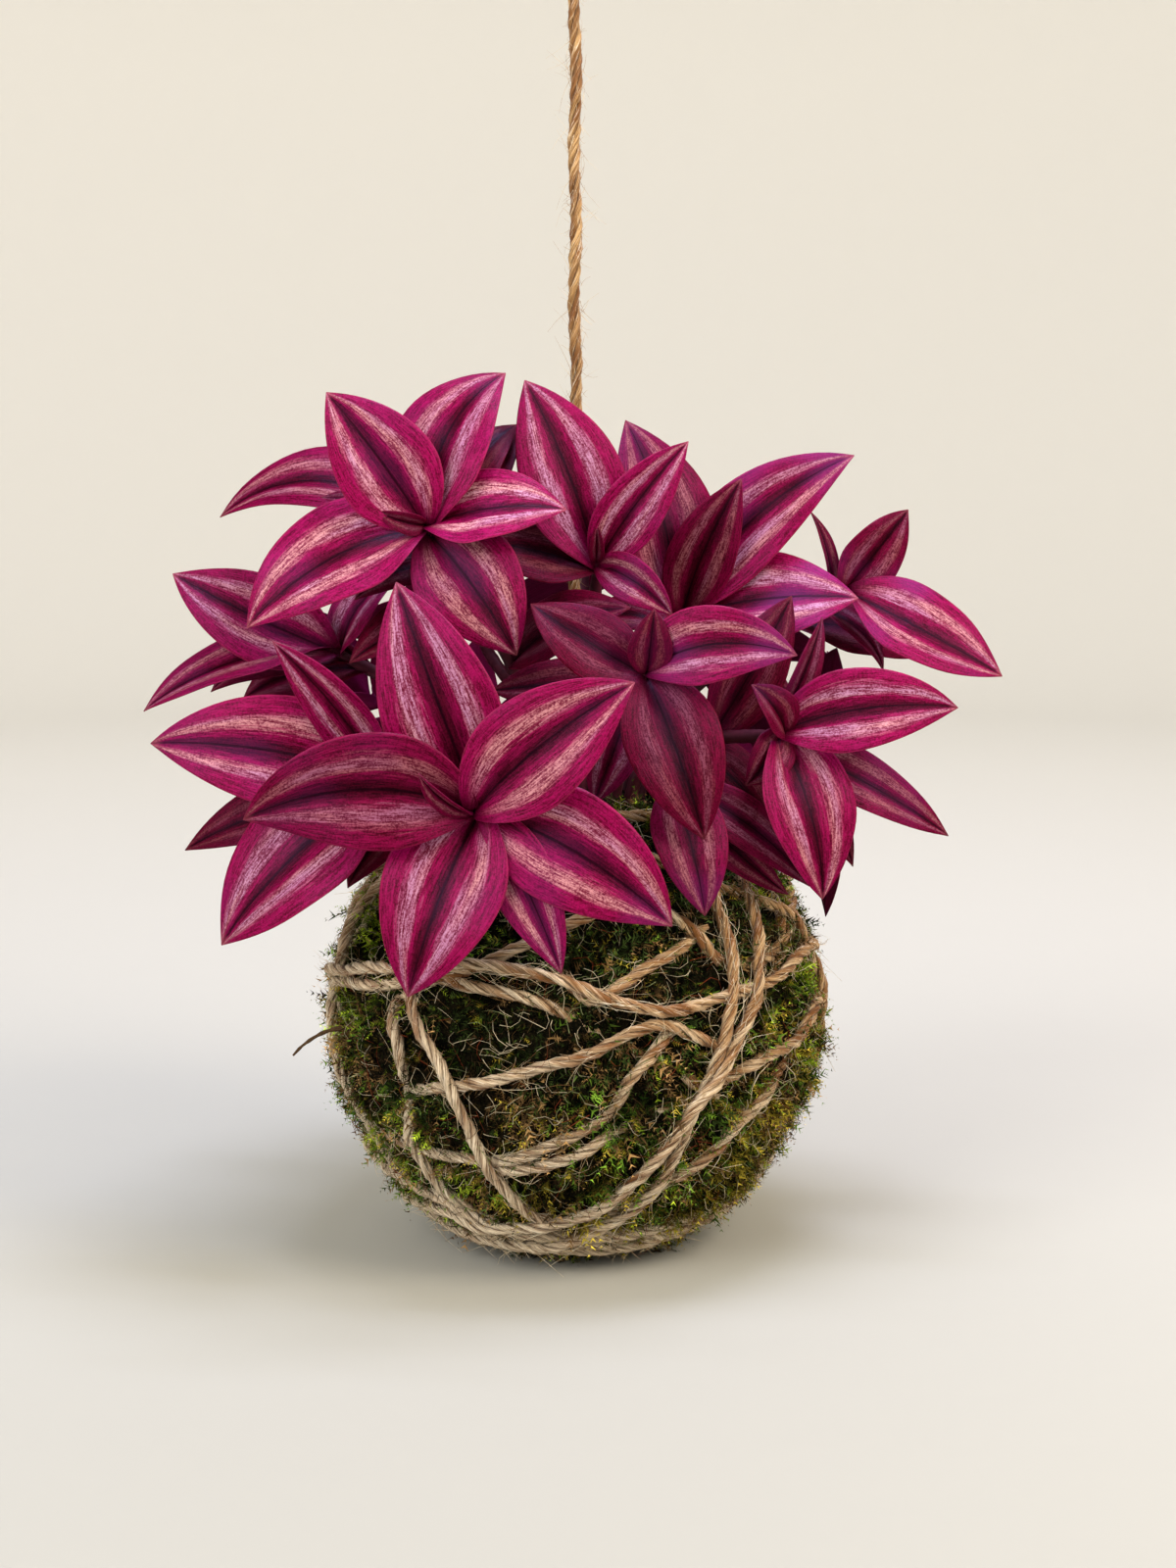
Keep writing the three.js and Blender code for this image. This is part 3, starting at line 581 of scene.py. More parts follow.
def knot_line(height):
    """The twine's way through an overhand knot drawn tight round the bridle."""
    t = np.linspace(0, 2 * np.pi, LOOP_POINTS, endpoint=False)
    shape = [np.sin(t) + 2 * np.sin(2 * t), -1.1 * np.sin(3 * t), np.cos(t) - 2 * np.cos(2 * t)]
    return np.array([0, BRIDLE_Y, height]) + np.stack(shape, 1) * KNOT_SIZE


def add_twine(name, stretches, solid):
    """One piece from several stretches of twine, which stands for a solid."""
    points, faces = gathered([group for group, marks in stretches])
    marks = np.concatenate([marks for group, marks in stretches])
    piece = make_piece(name, points, faces, [jute], "jute", {"strand": marks})
    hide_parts(solid)
    return piece


turns_laid.append(twine(bridle_line, KNOT_UP, False, 20, KNOT_STEP))
turns_laid.append(twine(knot_line(KNOT_HEIGHT), KNOT_UP, True, 21, KNOT_STEP))
add_twine("jute_turns_under", turns_laid[:TURNS_UNDER], "jute_binding")
add_twine("jute_turns_over", turns_laid[TURNS_UNDER:], "jute_binding")


# Jute fuzz
# Loose ends of the jute's fibres, which stand out all along the twine, and longer frayed fibres that have
# come loose from the plies and still run along them.

TOP_TURNS = 4
FIBRE_STEPS = 4
FIBRE_SINK = 0.25
FIBRE_DEPTH = 3.0
FIBRE_BEND = 0.35
HAIR_SIDES = 3
HAIR_END = 0.35
GROUND_GAP = 0.1

# Each kind of fibre: how many to a millimetre of twine, their lengths, how far they lift off, and how thick.
SHORT_FIBRES = (1.05, (1.5, 5.5), (0.35, 1.3), 0.07)
FRAYED_FIBRES = (0.30, (5.0, 14.0), (0.05, 0.30), 0.09)
HANGING_FIBRES = (2.6, (2.0, 7.0), (0.2, 1.5), 0.055)


def hair_tubes(hairs, thickness, chance):
    """Thin tubes along the hairs, which taper to their ends and are kept off the ground."""
    thick = thickness * chance.uniform(0.6, 1.2, (len(hairs), 1))
    thick = thick * np.linspace(1, HAIR_END, hairs.shape[1])[None]
    ups = np.broadcast_to(unit(chance.normal(0, 1, (len(hairs), 1, 3))), hairs.shape)
    points, faces = tubes(hairs, thick, ups, HAIR_SIDES)
    points[:, 2] = np.maximum(points[:, 2], GROUND_GAP)
    return points, faces


def add_fibres(name, lines, kind, finish, chance):
    """Bent hairs that leave the twine at random places along each line, both ways and outwards."""
    per_mm, lengths, lift, thickness = kind
    starts, aheads = [], []
    for line in lines:
        gaps = np.diff(line, axis=0)
        count = int(np.linalg.norm(gaps, axis=1).sum() * per_mm)
        pick = chance.integers(0, len(gaps), count)
        starts.append(line[pick] + gaps[pick] * chance.uniform(0, 1, (count, 1)))
        aheads.append(unit(gaps[pick]))
    starts, aheads = np.concatenate(starts), np.concatenate(aheads)
    bare = np.linalg.norm(starts - BALL_CENTRE, axis=1) > WRAP_RADIUS - FIBRE_DEPTH
    starts, aheads = starts[bare], aheads[bare]
    each = (len(starts), 1)
    out = chance.normal(0, 1, starts.shape)
    out = unit(out - aheads * np.sum(out * aheads, 1, keepdims=True))
    heading = aheads * chance.choice([-1, 1], each)
    heading = unit(heading + out * chance.uniform(*lift, each))
    size = chance.uniform(*lengths, each) * chance.uniform(0.5, 1.0, each)
    bend = unit(chance.normal(0, 1, starts.shape)) * size * FIBRE_BEND
    t = np.linspace(0, 1, FIBRE_STEPS)[None, :, None]
    root = starts + out * (TWINE_DIAMETER / 2 - FIBRE_SINK)
    curl = bend[:, None] * t**2 + np.roll(bend, 1, 1)[:, None] * 0.5 * np.sin(np.pi * t * 1.5) * t
    hairs = root[:, None] + heading[:, None] * size[:, None] * t + curl
    return make_piece(name, *hair_tubes(hairs, thickness, chance), [finish], "jute")


def fibre_finish(name, constants, scale, dark, pale):
    finish = Finish(name, {"Roughness": 0.85, **constants})
    tone = finish.grain(finish.place(), scale, 1.0)
    finish.feed(Base_Color=finish.mix(finish.step(tone, 0.4, 0.6), dark, pale))
    return finish


fuzz_shine = {"Specular IOR Level": 0.2, "Sheen Weight": 0.2}
fuzz = fibre_finish("jute fuzz", fuzz_shine, 300.0, paint(168, 128, 84), paint(236, 214, 176))
frayed_shine = {"Specular IOR Level": 0.15}
frayed = fibre_finish("frayed jute", frayed_shine, 500.0, paint(196, 172, 132), paint(240, 226, 198))
chance = np.random.default_rng(5)
add_fibres("jute_fuzz", [*turn_paths, bridle_line], SHORT_FIBRES, fuzz, chance)
# The last turns, which lie on top, have frayed twice as much.
add_fibres("jute_frayed", [*turn_paths, *turn_paths[-TOP_TURNS:]], FRAYED_FIBRES, frayed, chance)


# Hanging twine and eye
# The same twine goes up from the knot, drawn taut by the ball's weight. Its far end, out of the photograph's
# top, is tied into an eye that slips over a hook.

HANGING_LOW = 128.0
HANGING_TOP = 298.0
EYE_KNOT_HEIGHT = 302.0
EYE_LENGTH = 26.0
EYE_SHAPE = [[0, 0], [0.8, 0.3], [1, 0.65], [0.6, 0.93], [0, 1], [-0.6, 0.93], [-1, 0.65], [-0.8, 0.3]]
HANGING_POINTS = 40
HANGING_STEP = LAY_LENGTH / 16
EYE_POINTS = 120
LOOP_UP = (0.0, 1.0, 0.0)

hanging_line = np.linspace([0, BRIDLE_Y, HANGING_LOW], [0, BRIDLE_Y, HANGING_TOP], HANGING_POINTS)
hanging_plies = twine(hanging_line, LOOP_UP, False, 30, HANGING_STEP)
hanging_twine = add_twine("hanging_twine_plies", [hanging_plies], "hanging_twine")

eye_line = [[EYE_LENGTH / 3 * x, BRIDLE_Y, EYE_KNOT_HEIGHT + EYE_LENGTH * z] for x, z in EYE_SHAPE]
eye_line = smooth_line(eye_line, EYE_POINTS, True)
eye_plies = twine(eye_line, LOOP_UP, True, 31, KNOT_STEP)
eye_knot = twine(knot_line(EYE_KNOT_HEIGHT), KNOT_UP, True, 32, KNOT_STEP)
hanging_eye = add_twine("hanging_eye_loop", [eye_plies, eye_knot], "hanging_eye")
hanging_fuzz = add_fibres("hanging_fuzz", [hanging_line, eye_line], HANGING_FIBRES, fuzz, chance)


# Moss sprigs
# The living tips of the moss, which stand up between the turns of twine: dark feathery fronds, set in patches
# as painted shade, dense bright tufts, set in patches as painted light where the lamps fall, and dead brown
# and straw-coloured threads between them.

SPRIG_COUNT = 30000
SPRIG_LOWEST = -0.985
LEAF_PAIRS = 6
LEAFLET_LENGTH = 0.95
STALK_THICKNESS = 0.07
ROOTED = 0.4
FROND = {"length": (2.2, 5.6), "spread": 0.85, "stand": (0.2, 1.6)}
TUFT = {"length": (2.0, 4.6), "spread": 0.7, "stand": (0.5, 2.6)}
CLUMPS = 1.7
PRESSED_SHARE = 0.7
PRESSED_WIDTH = 1.9
PRESSED_DEPTH = 3.0
SPRIGS_AT_ONCE = 3000
PATCH_PULL = 2.2

# Patches of the moss: azimuth, latitude, half width in degrees and the growth that there is more of. The dark
# patches are painted shade, and the bright ones painted light where the lamps fall.
PATCHES = [
    [-62, 24, 16, "bright"], [-52, 12, 16, "bright"], [-40, 30, 14, "bright"], [-66, -6, 16, "brown"],
    [-48, -12, 18, "brown"], [-58, -30, 18, "green"], [-40, -30, 14, "bright"], [-30, 4, 18, "dark"],
    [-12, 8, 20, "dark"], [8, 28, 20, "dark"], [2, -6, 20, "brown"], [16, -4, 14, "dark"],
    [-14, -12, 16, "brown"], [10, -20, 14, "green"], [0, -30, 16, "yellow"], [22, -26, 16, "green"],
    [34, -14, 12, "dark"], [46, -34, 20, "yellow"], [14, -44, 18, "yellow"], [56, -12, 16, "yellow"],
    [70, -18, 18, "brown"], [62, 6, 16, "green"], [68, 20, 16, "bright"], [56, 32, 16, "brown"],
    [40, 32, 14, "dark"], [-20, -46, 16, "brown"], [-46, -48, 16, "brown"], [96, -24, 22, "yellow"],
    [104, 22, 24, "green"], [140, 4, 28, "bright"], [176, -20, 26, "green"], [170, 34, 24, "dark"],
    [-140, 20, 26, "yellow"], [-108, 8, 22, "bright"], [-150, -30, 26, "brown"], [-104, -30, 22, "green"],
    [132, -40, 26, "brown"],
]
PALETTE = {
    "bright": [paint(66, 100, 14), paint(186, 210, 58)],
    "green": [paint(36, 70, 16), paint(126, 166, 54)],
    "dark": [paint(18, 24, 9), paint(82, 104, 46)],
    "brown": [paint(42, 25, 11), paint(178, 140, 88)],
    "yellow": [paint(90, 80, 12), paint(222, 200, 74)],
}


def rotated(vectors, axes, angles):
    """Vectors turned about unit axes."""
    angles = np.asarray(angles)[..., None]
    along = axes * np.sum(axes * vectors, -1, keepdims=True)
    return along + (vectors - along) * np.cos(angles) + np.cross(axes, vectors) * np.sin(angles)


def sprigs(ways, form, shorten, colours, chance):
    """Small fronds with a thin stalk and pairs of pointed leaves: their points, triangles and colours."""
    count = len(ways)
    roots = BALL_CENTRE + ways * (moss_reach(ways) - ROOTED)[:, None]
    lie = unit(ways * ways[:, 2:3] - [0, 0, 1.0] + 1e-3)
    lie = rotated(lie, ways, mottle(ways, 3.0) * 2.4 + chance.normal(0, 1.5, count))
    stand = chance.uniform(*form["stand"], (count, 1))
    heading = unit(lie + ways * stand)
    side = unit(np.cross(heading, ways))
    side = rotated(side, heading, chance.normal(0, 0.5, count))
    face = np.cross(side, heading)
    length = chance.uniform(*form["length"], (count, 1)) * shorten[:, None]
    sag = (lie + 0.6 * side) * length * chance.uniform(-0.3, 0.5, (count, 1))
    spots = np.linspace(0.12, 1.0, LEAF_PAIRS)[None, :, None]
    stalk = roots[:, None] + heading[:, None] * length[:, None] * spots + sag[:, None] * spots**2
    shape = np.sin(np.pi * np.clip(spots * 0.8 + 0.14, 0, 1)) ** 0.7
    leaf = LEAFLET_LENGTH * shape * chance.uniform(0.5, 1.4, (count, LEAF_PAIRS, 1))
    leaf = leaf * (length[:, None] / np.mean(length)) ** 0.6
    forward = heading[:, None] * leaf
    spread = side[:, None] * leaf * form["spread"]
    lift = face[:, None] * leaf * chance.uniform(-0.4, 0.8, (count, LEAF_PAIRS, 1))
    half_root = heading[:, None] * leaf * 0.22
    points = []
    for turn in (-1, 1):
        points += [stalk - half_root, stalk + half_root, stalk + turn * spread + 0.75 * forward + lift]
    leaf_points = np.stack(points, 2).reshape(count, -1, 3)
    thin = side * STALK_THICKNESS
    ends = [roots - thin, roots + thin, stalk[:, -1] + forward[:, -1] * 0.4]
    points = np.concatenate([leaf_points, np.stack(ends, 1)], 1)
    faces = np.arange(points.size // 3).reshape(-1, 3)
    height = np.concatenate([np.repeat(spots[0, :, 0], 6), [0.0, 0.0, 1.0]])
    # Each sprig is painted darker towards its root, as the shade deep in the moss, and its tone differs at
    # random.
    shade = (0.08 + 1.0 * height)[None, :, None] * chance.uniform(0.45, 1.55, (count, 1, 1))
    share = np.clip(chance.uniform(-0.3, 0.7, (count, 1, 1)) + 0.6 * height[None, :, None], 0, 1)
    # Clumps differ in tone at random, and short, pressed sprigs are painted darker, as the shade low among
    # the others.
    patch = np.clip(1.0 + 1.9 * mottle(ways, 8.0, 31.0), 0.25, 1.9)
    patch = patch * np.clip(0.35 + 0.7 * shorten, 0, 1.3)
    tint = (colours[:, :1] * (1 - share) + colours[:, 1:] * share) * shade * patch[:, None, None]
    tint[..., 3] = 1
    points = points.reshape(-1, 3)
    points[:, 2] = np.maximum(points[:, 2], GROUND_GAP)
    return points, faces, tint.reshape(-1, 4)


chance = np.random.default_rng(7)
heights = chance.uniform(SPRIG_LOWEST, math.sin(math.radians(NECK_LATITUDE + 1)), SPRIG_COUNT)
azimuths = chance.uniform(0, 360, SPRIG_COUNT)
sprig_ways = facing(azimuths, np.degrees(np.arcsin(heights)))

# Which growth each sprig is of: the patches decide it, with some chance that comes and goes over the ball.
growths = list(PALETTE)
weights = np.full((SPRIG_COUNT, len(growths)), 0.22)
for azimuth, latitude, reach, growth in PATCHES:
    apart = np.degrees(np.arccos(np.clip(sprig_ways @ facing(azimuth, latitude), -1, 1)))
    weights[:, growths.index(growth)] += PATCH_PULL * np.exp(-((apart / reach) ** 2))
for column in range(len(growths)):
    weights[:, column] *= np.exp(2.2 * mottle(sprig_ways, 5.5, column * 9.7))
weights /= weights.sum(1, keepdims=True)
picked = (weights.cumsum(1) > chance.uniform(0, 1, (SPRIG_COUNT, 1))).argmax(1)

# The moss grows in clumps, and the twine presses it down on both sides of each turn.
pressed = np.clip(1.0 + CLUMPS * mottle(sprig_ways, 10.0), 0.32, 1.75)
all_turns = np.concatenate([unit(path - BALL_CENTRE) for path in turn_paths]).astype(np.float32)
depths = np.concatenate(turn_depths)
for start in range(0, SPRIG_COUNT, SPRIGS_AT_ONCE):
    near = sprig_ways[start:start + SPRIGS_AT_ONCE].astype(np.float32) @ all_turns.T
    apart = WRAP_RADIUS * np.arccos(np.clip(near.max(1), -1, 1))
    hold = np.clip(1.5 - apart / PRESSED_WIDTH, 0, 1)
    hold = hold * np.clip(1 - depths[near.argmax(1)] / PRESSED_DEPTH, 0, 1)
    pressed[start:start + SPRIGS_AT_ONCE] *= 1 - PRESSED_SHARE * hold

moss = Finish("living moss", {"Roughness": 0.8, "Specular IOR Level": 0.08})
moss_fleck = moss.mix(moss.grain(moss.place(), 1500.0, 1.0), paint(150, 150, 150), paint(255, 255, 255))
moss.feed(Base_Color=moss.mix(1.0, moss.attribute("tint", 0), moss_fleck, "MULTIPLY"))

moss_pieces = {
    "moss_fronds_dark": (["dark"], FROND),
    "moss_fronds_brown": (["brown"], FROND),
    "moss_tufts_green": (["green"], FROND),
    "moss_tufts_bright": (["bright", "yellow"], TUFT),
}
for name, (kinds, form) in moss_pieces.items():
    chosen = np.isin(picked, [growths.index(kind) for kind in kinds])
    colours = np.array([PALETTE[growths[k]] for k in picked[chosen]])
    points, faces, tint = sprigs(sprig_ways[chosen], form, pressed[chosen], colours, chance)
    make_piece(name, points, faces, [moss], "moss", {"tint": tint})

# Dead threads: wiry roots, straw and loosened fibres, which lie all over the moss
THREAD_COUNT = 6800
THREAD_THICKNESS = 0.085
THREAD_LENGTHS = (2.0, 8.0)
THREAD_LIFT = (0.6, 3.8)
THREAD_HEIGHTS = (-0.97, 0.9)
THREAD_TONES = [(34, 23, 12), (124, 92, 56), (240, 224, 188), (150, 66, 38), (172, 182, 126)]
THREAD_SHARES = [0.34, 0.24, 0.24, 0.08, 0.10]

azimuths = chance.uniform(0, 360, THREAD_COUNT)
ways = facing(azimuths, np.degrees(np.arcsin(chance.uniform(*THREAD_HEIGHTS, THREAD_COUNT))))
side = unit(np.cross(ways, unit(chance.normal(0, 1, ways.shape))))
size = chance.uniform(*THREAD_LENGTHS, (THREAD_COUNT, 1))
t = np.linspace(-0.5, 0.5, FIBRE_STEPS)[None, :, None]
bow = np.cross(ways, side) * size * chance.uniform(-0.45, 0.45, (THREAD_COUNT, 1))
lift = chance.uniform(*THREAD_LIFT, (THREAD_COUNT, 1))
strands = BALL_CENTRE + ways[:, None] * (MOSS_RADIUS + lift[:, None] * (1 - (2 * t) ** 2 * 0.6))
strands = strands + side[:, None] * size[:, None] * t + bow[:, None] * (4 * t**2 - 0.5)
strands = strands - ways[:, None] * (size[:, None] * t) ** 2 / (2 * MOSS_RADIUS)
points, faces = hair_tubes(strands, THREAD_THICKNESS, chance)
thread_tones = np.array([paint(*tone) for tone in THREAD_TONES])
tint = thread_tones[chance.choice(len(THREAD_TONES), THREAD_COUNT, p=THREAD_SHARES)]
tint = np.repeat(tint, FIBRE_STEPS * HAIR_SIDES, axis=0)
make_piece("moss_threads", points, faces, [moss], "moss", {"tint": tint})

# A dead twig that was gathered with the moss and sticks out of its left side
TWIG = [[-52, -26, 57], [-58, -28, 56], [-63, -29, 53], [-65, -30, 51]]
TWIG_GIRTH = (0.6, 0.3)
TWIG_POINTS = 16
TWIG_SIDES = 7

twig_line = smooth_line(TWIG, TWIG_POINTS, False)[None]
twig_girth = np.linspace(*TWIG_GIRTH, TWIG_POINTS) * (1 + 0.2 * np.cos(np.arange(TWIG_POINTS) * 1.9))
points, faces = tubes(twig_line, twig_girth[None], np.broadcast_to([0, 0, 1.0], twig_line.shape), TWIG_SIDES)
tint = np.tile(paint(104, 78, 54), (len(points), 1))
make_piece("moss_twig", points, faces, [moss], "moss", {"tint": tint})


# Leafy stems
# Shoots of the plant, each a soft jointed stem with leaves that clasp it. The blades are fleshy, folded at
# the base, and striped lengthwise: a dark middle, a silvery-pink stripe down each half and a magenta rim.

STEM_RADIUS = 1.6
ROOT_DEPTH = 12.0
STEM_RISE = 22.0
STEM_BEND = 0.4
STEM_SIDES = 10
STEM_POINTS = 40
ROOT_POINTS = 6
TIP_POINTS = 8
JOINT_SWELL = 0.10
LEAF_ROWS = 24
LEAF_COLUMNS = 12
LEAF_THICKNESS = 0.6
OUTLINE_RISE = 0.72
OUTLINE_FALL = 1.0
BASE_FOLD = 70
CLASP = 0.4
HOLLOW = 0.25
RIM_WAVES = 2.3
RIM_RIPPLE = 0.010
SEED_STEP = 0.618

# A shoot that opens in a spiral: its first leaf, and how much each leaf is further on than the one before
SPIRAL_LEAVES = 6
SPIRAL_TURN = 137.5
SPIRAL_GAP = 2
FIRST_TILT = 58
TILT_STEP = 7
FIRST_LENGTH = 30
LENGTH_STEP = 2.5
SPIRAL_FORM = {"arch": 4, "lift": 2, "roll": 0, "fold": 25}
FIRST_DULL = 0.3
DULL_STEP = 0.1

# Each shoot whose leaves are laid out one by one: its crown, its axis, its root and its leaves as [mm down
# the stem, bearing, lean to the viewer, length, width, arch, lift, roll, fold, how dark it is painted for age
# and for the shade of other leaves].
PLACED_SHOOTS = {
    "top_left": [[-34, -30, 173], [-0.25, -0.8, 0.55], [-7, -6], [
        [1, 125, 12, 37, 25, 4, 1, 0, 24, 0.2], [3, -152, 14, 46, 27, 4, 4, -8, 26, 0.2],
        [2, 8, 14, 33, 23, 3, 1, -5, 28, 0.1], [4, -53, 18, 35, 26, 4, 2, 0, 22, 0.35],
        [5, 65, -12, 41, 27, 4, 12, 0, 24, 0.3], [8, 174, -14, 52, 21, 5, 10, 10, 28, 0.5],
        [9, 56, -25, 36, 17, 3, 4, 0, 26, 0.9], [0, 163, 30, 12, 8, 3, 0, -50, 50, 0.8],
        [7, 159, 4, 27, 9, 3, 2, 0, 30, 0.7], [20, 195, 15, 24, 12, 4, 2, 0, 26, 0.8],
        [38, 195, 35, 38, 19, 4, 2, 0, 26, 0.9], [14, 60, -25, 38, 19, 4, 2, 0, 26, 0.9],
        [54, 30, 35, 38, 19, 4, 2, 0, 26, 0.9],
    ]],
    "top_middle": [[5, -16, 164], [0, -0.8, 0.6], [1, -6], [
        [3, 111, -2, 46, 27, 4, 3, 0, 24, 0.25], [4, 167, 4, 32, 17, 4, 0, -10, 26, 0.85],
        [2, 54, 12, 36, 18, 4, 3, 30, 36, 0.2], [2, -32, 22, 22, 13, 3, 3, 35, 36, 0.3],
        [0, 90, 30, 10, 6, 1, 0, 0, 55, 0.8], [24, 0, 35, 24, 12, 4, 2, 0, 26, 0.8],
    ]],
    "top_right": [[26, 4, 151], [0.25, -0.65, 0.72], [8, -3], [
        [8, 103, -5, 52, 32, 4, 9, 0, 24, 0.6], [4, 44, 2, 57, 24, 4, 8, 10, 26, 0.35],
        [2, 68, 16, 37, 18, 4, 4, 0, 26, 0.7], [3, 8, 15, 43, 27, 4, 1, 20, 24, 0.15],
    ]],
    "centre": [[16, -42, 141], [0.05, -0.93, 0.35], [4, -12], [
        [3, 148, 2, 30, 18, 4, -2, 0, 26, 0.9], [0, 84, 18, 15, 12, 2, 0, 0, 34, 0.9],
        [1, 8, 14, 34, 20, 5, 5, 10, 30, 0.35], [3, -70, 16, 39, 24, 6, 0, 0, 24, 0.85],
        [12, -177, -10, 34, 14, 4, 0, 0, 28, 0.9], [10, -111, 2, 29, 15, 4, 0, 0, 28, 0.5],
    ]],
    "front": [[-22, -58, 112], [-0.2, -0.95, 0.2], [-4, -15], [
        [6, 110, -2, 53, 29, 6, 2, 0, 24, 0.3], [2, -179, 6, 50, 30, 5, 8, -15, 30, 0.65],
        [1, 40, 10, 46, 27, 6, 3, 10, 26, 0.3], [5, -30, 8, 49, 28, 6, 5, 0, 24, 0.3],
        [7, -112, 14, 44, 30, 7, 0, 0, 24, 0.3], [8, -64, 14, 40, 17, 6, 6, 0, 28, 0.3],
        [10, -104, 9, 36, 17, 4, 0, 0, 28, 0.8], [0, 139, 30, 17, 8, 2, 0, -40, 45, 0.7],
    ]],
    "left": [[-57, -14, 144], [-0.6, -0.6, 0.5], [-15, -4], [
        [3, 154, 2, 42, 23, 4, -2, 0, 24, 0.3], [2, -163, 10, 46, 19, 3, 3, 5, 28, 0.5],
        [9, -168, -12, 37, 15, 4, 4, 0, 26, 0.9], [5, 56, 0, 22, 18, 3, 3, 0, 26, 0.3],
        [14, 195, -25, 38, 19, 4, 2, 0, 26, 0.9],
    ]],
    "low_left": [[-43, -40, 116], [-0.5, -0.8, 0.3], [-11, -11], [
        [3, 170, 2, 54, 28, 5, 3, 0, 24, 0.3], [4, -137, 4, 53, 32, 6, 1, 0, 24, 0.25],
        [2, 127, 8, 41, 15, 4, 6, 0, 26, 0.3], [9, -162, -10, 56, 17, 5, 2, 0, 26, 0.9],
        [24, -135, 15, 38, 19, 4, 2, 0, 26, 0.9],
    ]],
    "right": [[47, -30, 126], [0.45, -0.85, 0.25], [13, -9], [
        [2, 9, 6, 41, 21, 5, 3, 0, 26, 0.2], [3, -74, 12, 39, 26, 6, 0, 0, 24, 0.35],
        [1, -126, 24, 15, 13, 3, 0, 0, 34, 0.8], [7, -29, -6, 50, 15, 5, 0, 0, 26, 0.65],
        [0, 123, 24, 15, 13, 3, 0, 0, 40, 0.8], [11, -52, -14, 42, 13, 5, 2, 0, 28, 0.9],
        [4, 67, -5, 29, 10, 3, 0, 0, 45, 0.8], [22, 60, -5, 38, 19, 4, 2, 0, 26, 0.9],
        [30, -45, -5, 31, 16, 4, 2, 0, 26, 0.9],
    ]],
    "far_right": [[65, 4, 156], [0.65, -0.55, 0.5], [15, -2], [
        [3, 52, 0, 26, 17, 3, 2, 0, 26, 0.7], [1, -28, 10, 42, 24, 4, -2, 20, 26, 0.3],
        [6, 103, 0, 22, 8, 2, 0, 0, 40, 0.75], [11, -41, 4, 22, 12, 4, 1, 0, 28, 0.7],
        [20, -15, -25, 38, 19, 4, 2, 0, 26, 0.9], [44, -15, 35, 24, 12, 4, 2, 0, 26, 0.9],
    ]],
    "low_right": [[22, -38, 115], [0.2, -0.9, 0.1], [9, -14], [
        [2, -75, 22, 31, 19, 5, 0, 0, 26, 0.6], [7, -43, -4, 40, 11, 3, -2, 0, 28, 0.8],
        [3, -37, -8, 41, 13, 4, 4, 0, 28, 0.8],
    ]],
    "back_top_middle": [[2, 24, 170], [0, 0.3, 0.95], [0, 14], [
        [3, 8, 12, 36, 19, 4, 3, 0, 25, 0.6], [4, 172, 14, 36, 19, 4, 3, 0, 25, 0.6],
        [6, 25, -48, 38, 19, 4, 3, 0, 25, 0.7], [7, 150, -42, 38, 19, 4, 3, 0, 25, 0.7],
        [0, 80, -14, 22, 11, 3, 1, 0, 34, 0.5],
    ]],
}

# Each shoot behind: its crown, its axis, its root and the turn of its first leaf, where the spiral starts.
SPIRAL_SHOOTS = {
    "back_left": [[-52, 26, 128], [-0.8, 0.45, 0.4], [-12, 9], 84],
    "back_top_left": [[-26, 48, 146], [-0.25, 0.6, 0.75], [-5, 9], 348],
    "back_top_right": [[30, 40, 144], [0.35, 0.6, 0.7], [5, 10], 180],
    "back_right": [[58, 32, 111], [0.85, 0.45, 0.2], [12, 9], 252],
    "back_low_left": [[-28, 68, 106], [-0.3, 0.93, 0.15], [-6, 14], 0],
    "back_low_right": [[20, 68, 101], [0.3, 0.93, 0.1], [6, 14], 76],
}


def cubic(corners, t):
    """The points of a cubic, and the directions along it."""
    a, b, c, d = (np.asarray(corner, float) for corner in corners)
    t = np.atleast_1d(t)[:, None]
    s = 1 - t
    points = s**3 * a + 3 * s**2 * t * b + 3 * s * t**2 * c + t**3 * d
    ahead = 3 * s**2 * (b - a) + 6 * s * t * (c - b) + 3 * t**2 * (d - c)
    return points, unit(ahead)


def stem_corners(crown, axis, root):
    x, y = root
    soil_top = np.array([x, y, BALL_CENTRE[2] + math.sqrt(SOIL_RADIUS**2 - x * x - y * y)])
    bend = STEM_BEND * np.linalg.norm(crown - soil_top)
    return soil_top, soil_top + [0, 0, max(STEM_RISE, bend)], crown - axis * bend, crown


def down_stem(corners, down):
    return cubic(corners, 1 - down / (3 * np.linalg.norm(corners[3] - corners[2])))[0][0]


def placed_leaves(corners, rows):
    """The leaves of a shoot that are laid out one by one: the base, the tip and the form of each."""
    for down, bearing, lean, length, *form in rows:
        a, e = math.radians(bearing), math.radians(lean)
        way = np.array([math.cos(e) * math.cos(a), -math.sin(e), math.cos(e) * math.sin(a)])
        base = down_stem(corners, down)
        yield base, base + length * way, *form


def spiral_leaves(corners, axis, first_turn):
    """The leaves of a shoot that open in a spiral, each lower and longer than the one before."""
    first = unit(np.cross(axis, [0, 0, 1.0]))
    second = np.cross(axis, first)
    for k in range(SPIRAL_LEAVES):
        turn = math.radians(first_turn + SPIRAL_TURN * k)
        tilt = math.radians(FIRST_TILT + TILT_STEP * k)
        length = FIRST_LENGTH + LENGTH_STEP * k
        out = first * math.cos(turn) + second * math.sin(turn)
        base = down_stem(corners, SPIRAL_GAP * k)
        tip = base + length * (axis * math.cos(tilt) + out * math.sin(tilt))
        yield base, tip, length / 2, *SPIRAL_FORM.values(), FIRST_DULL + DULL_STEP * k


def leaf_outline(t):
    """Half of a leaf's width as a share of its greatest."""
    s = 0.02 + 0.98 * t
    widest = OUTLINE_RISE / (OUTLINE_RISE + OUTLINE_FALL)
    return (s / widest) ** OUTLINE_RISE * ((1 - s) / (1 - widest)) ** OUTLINE_FALL


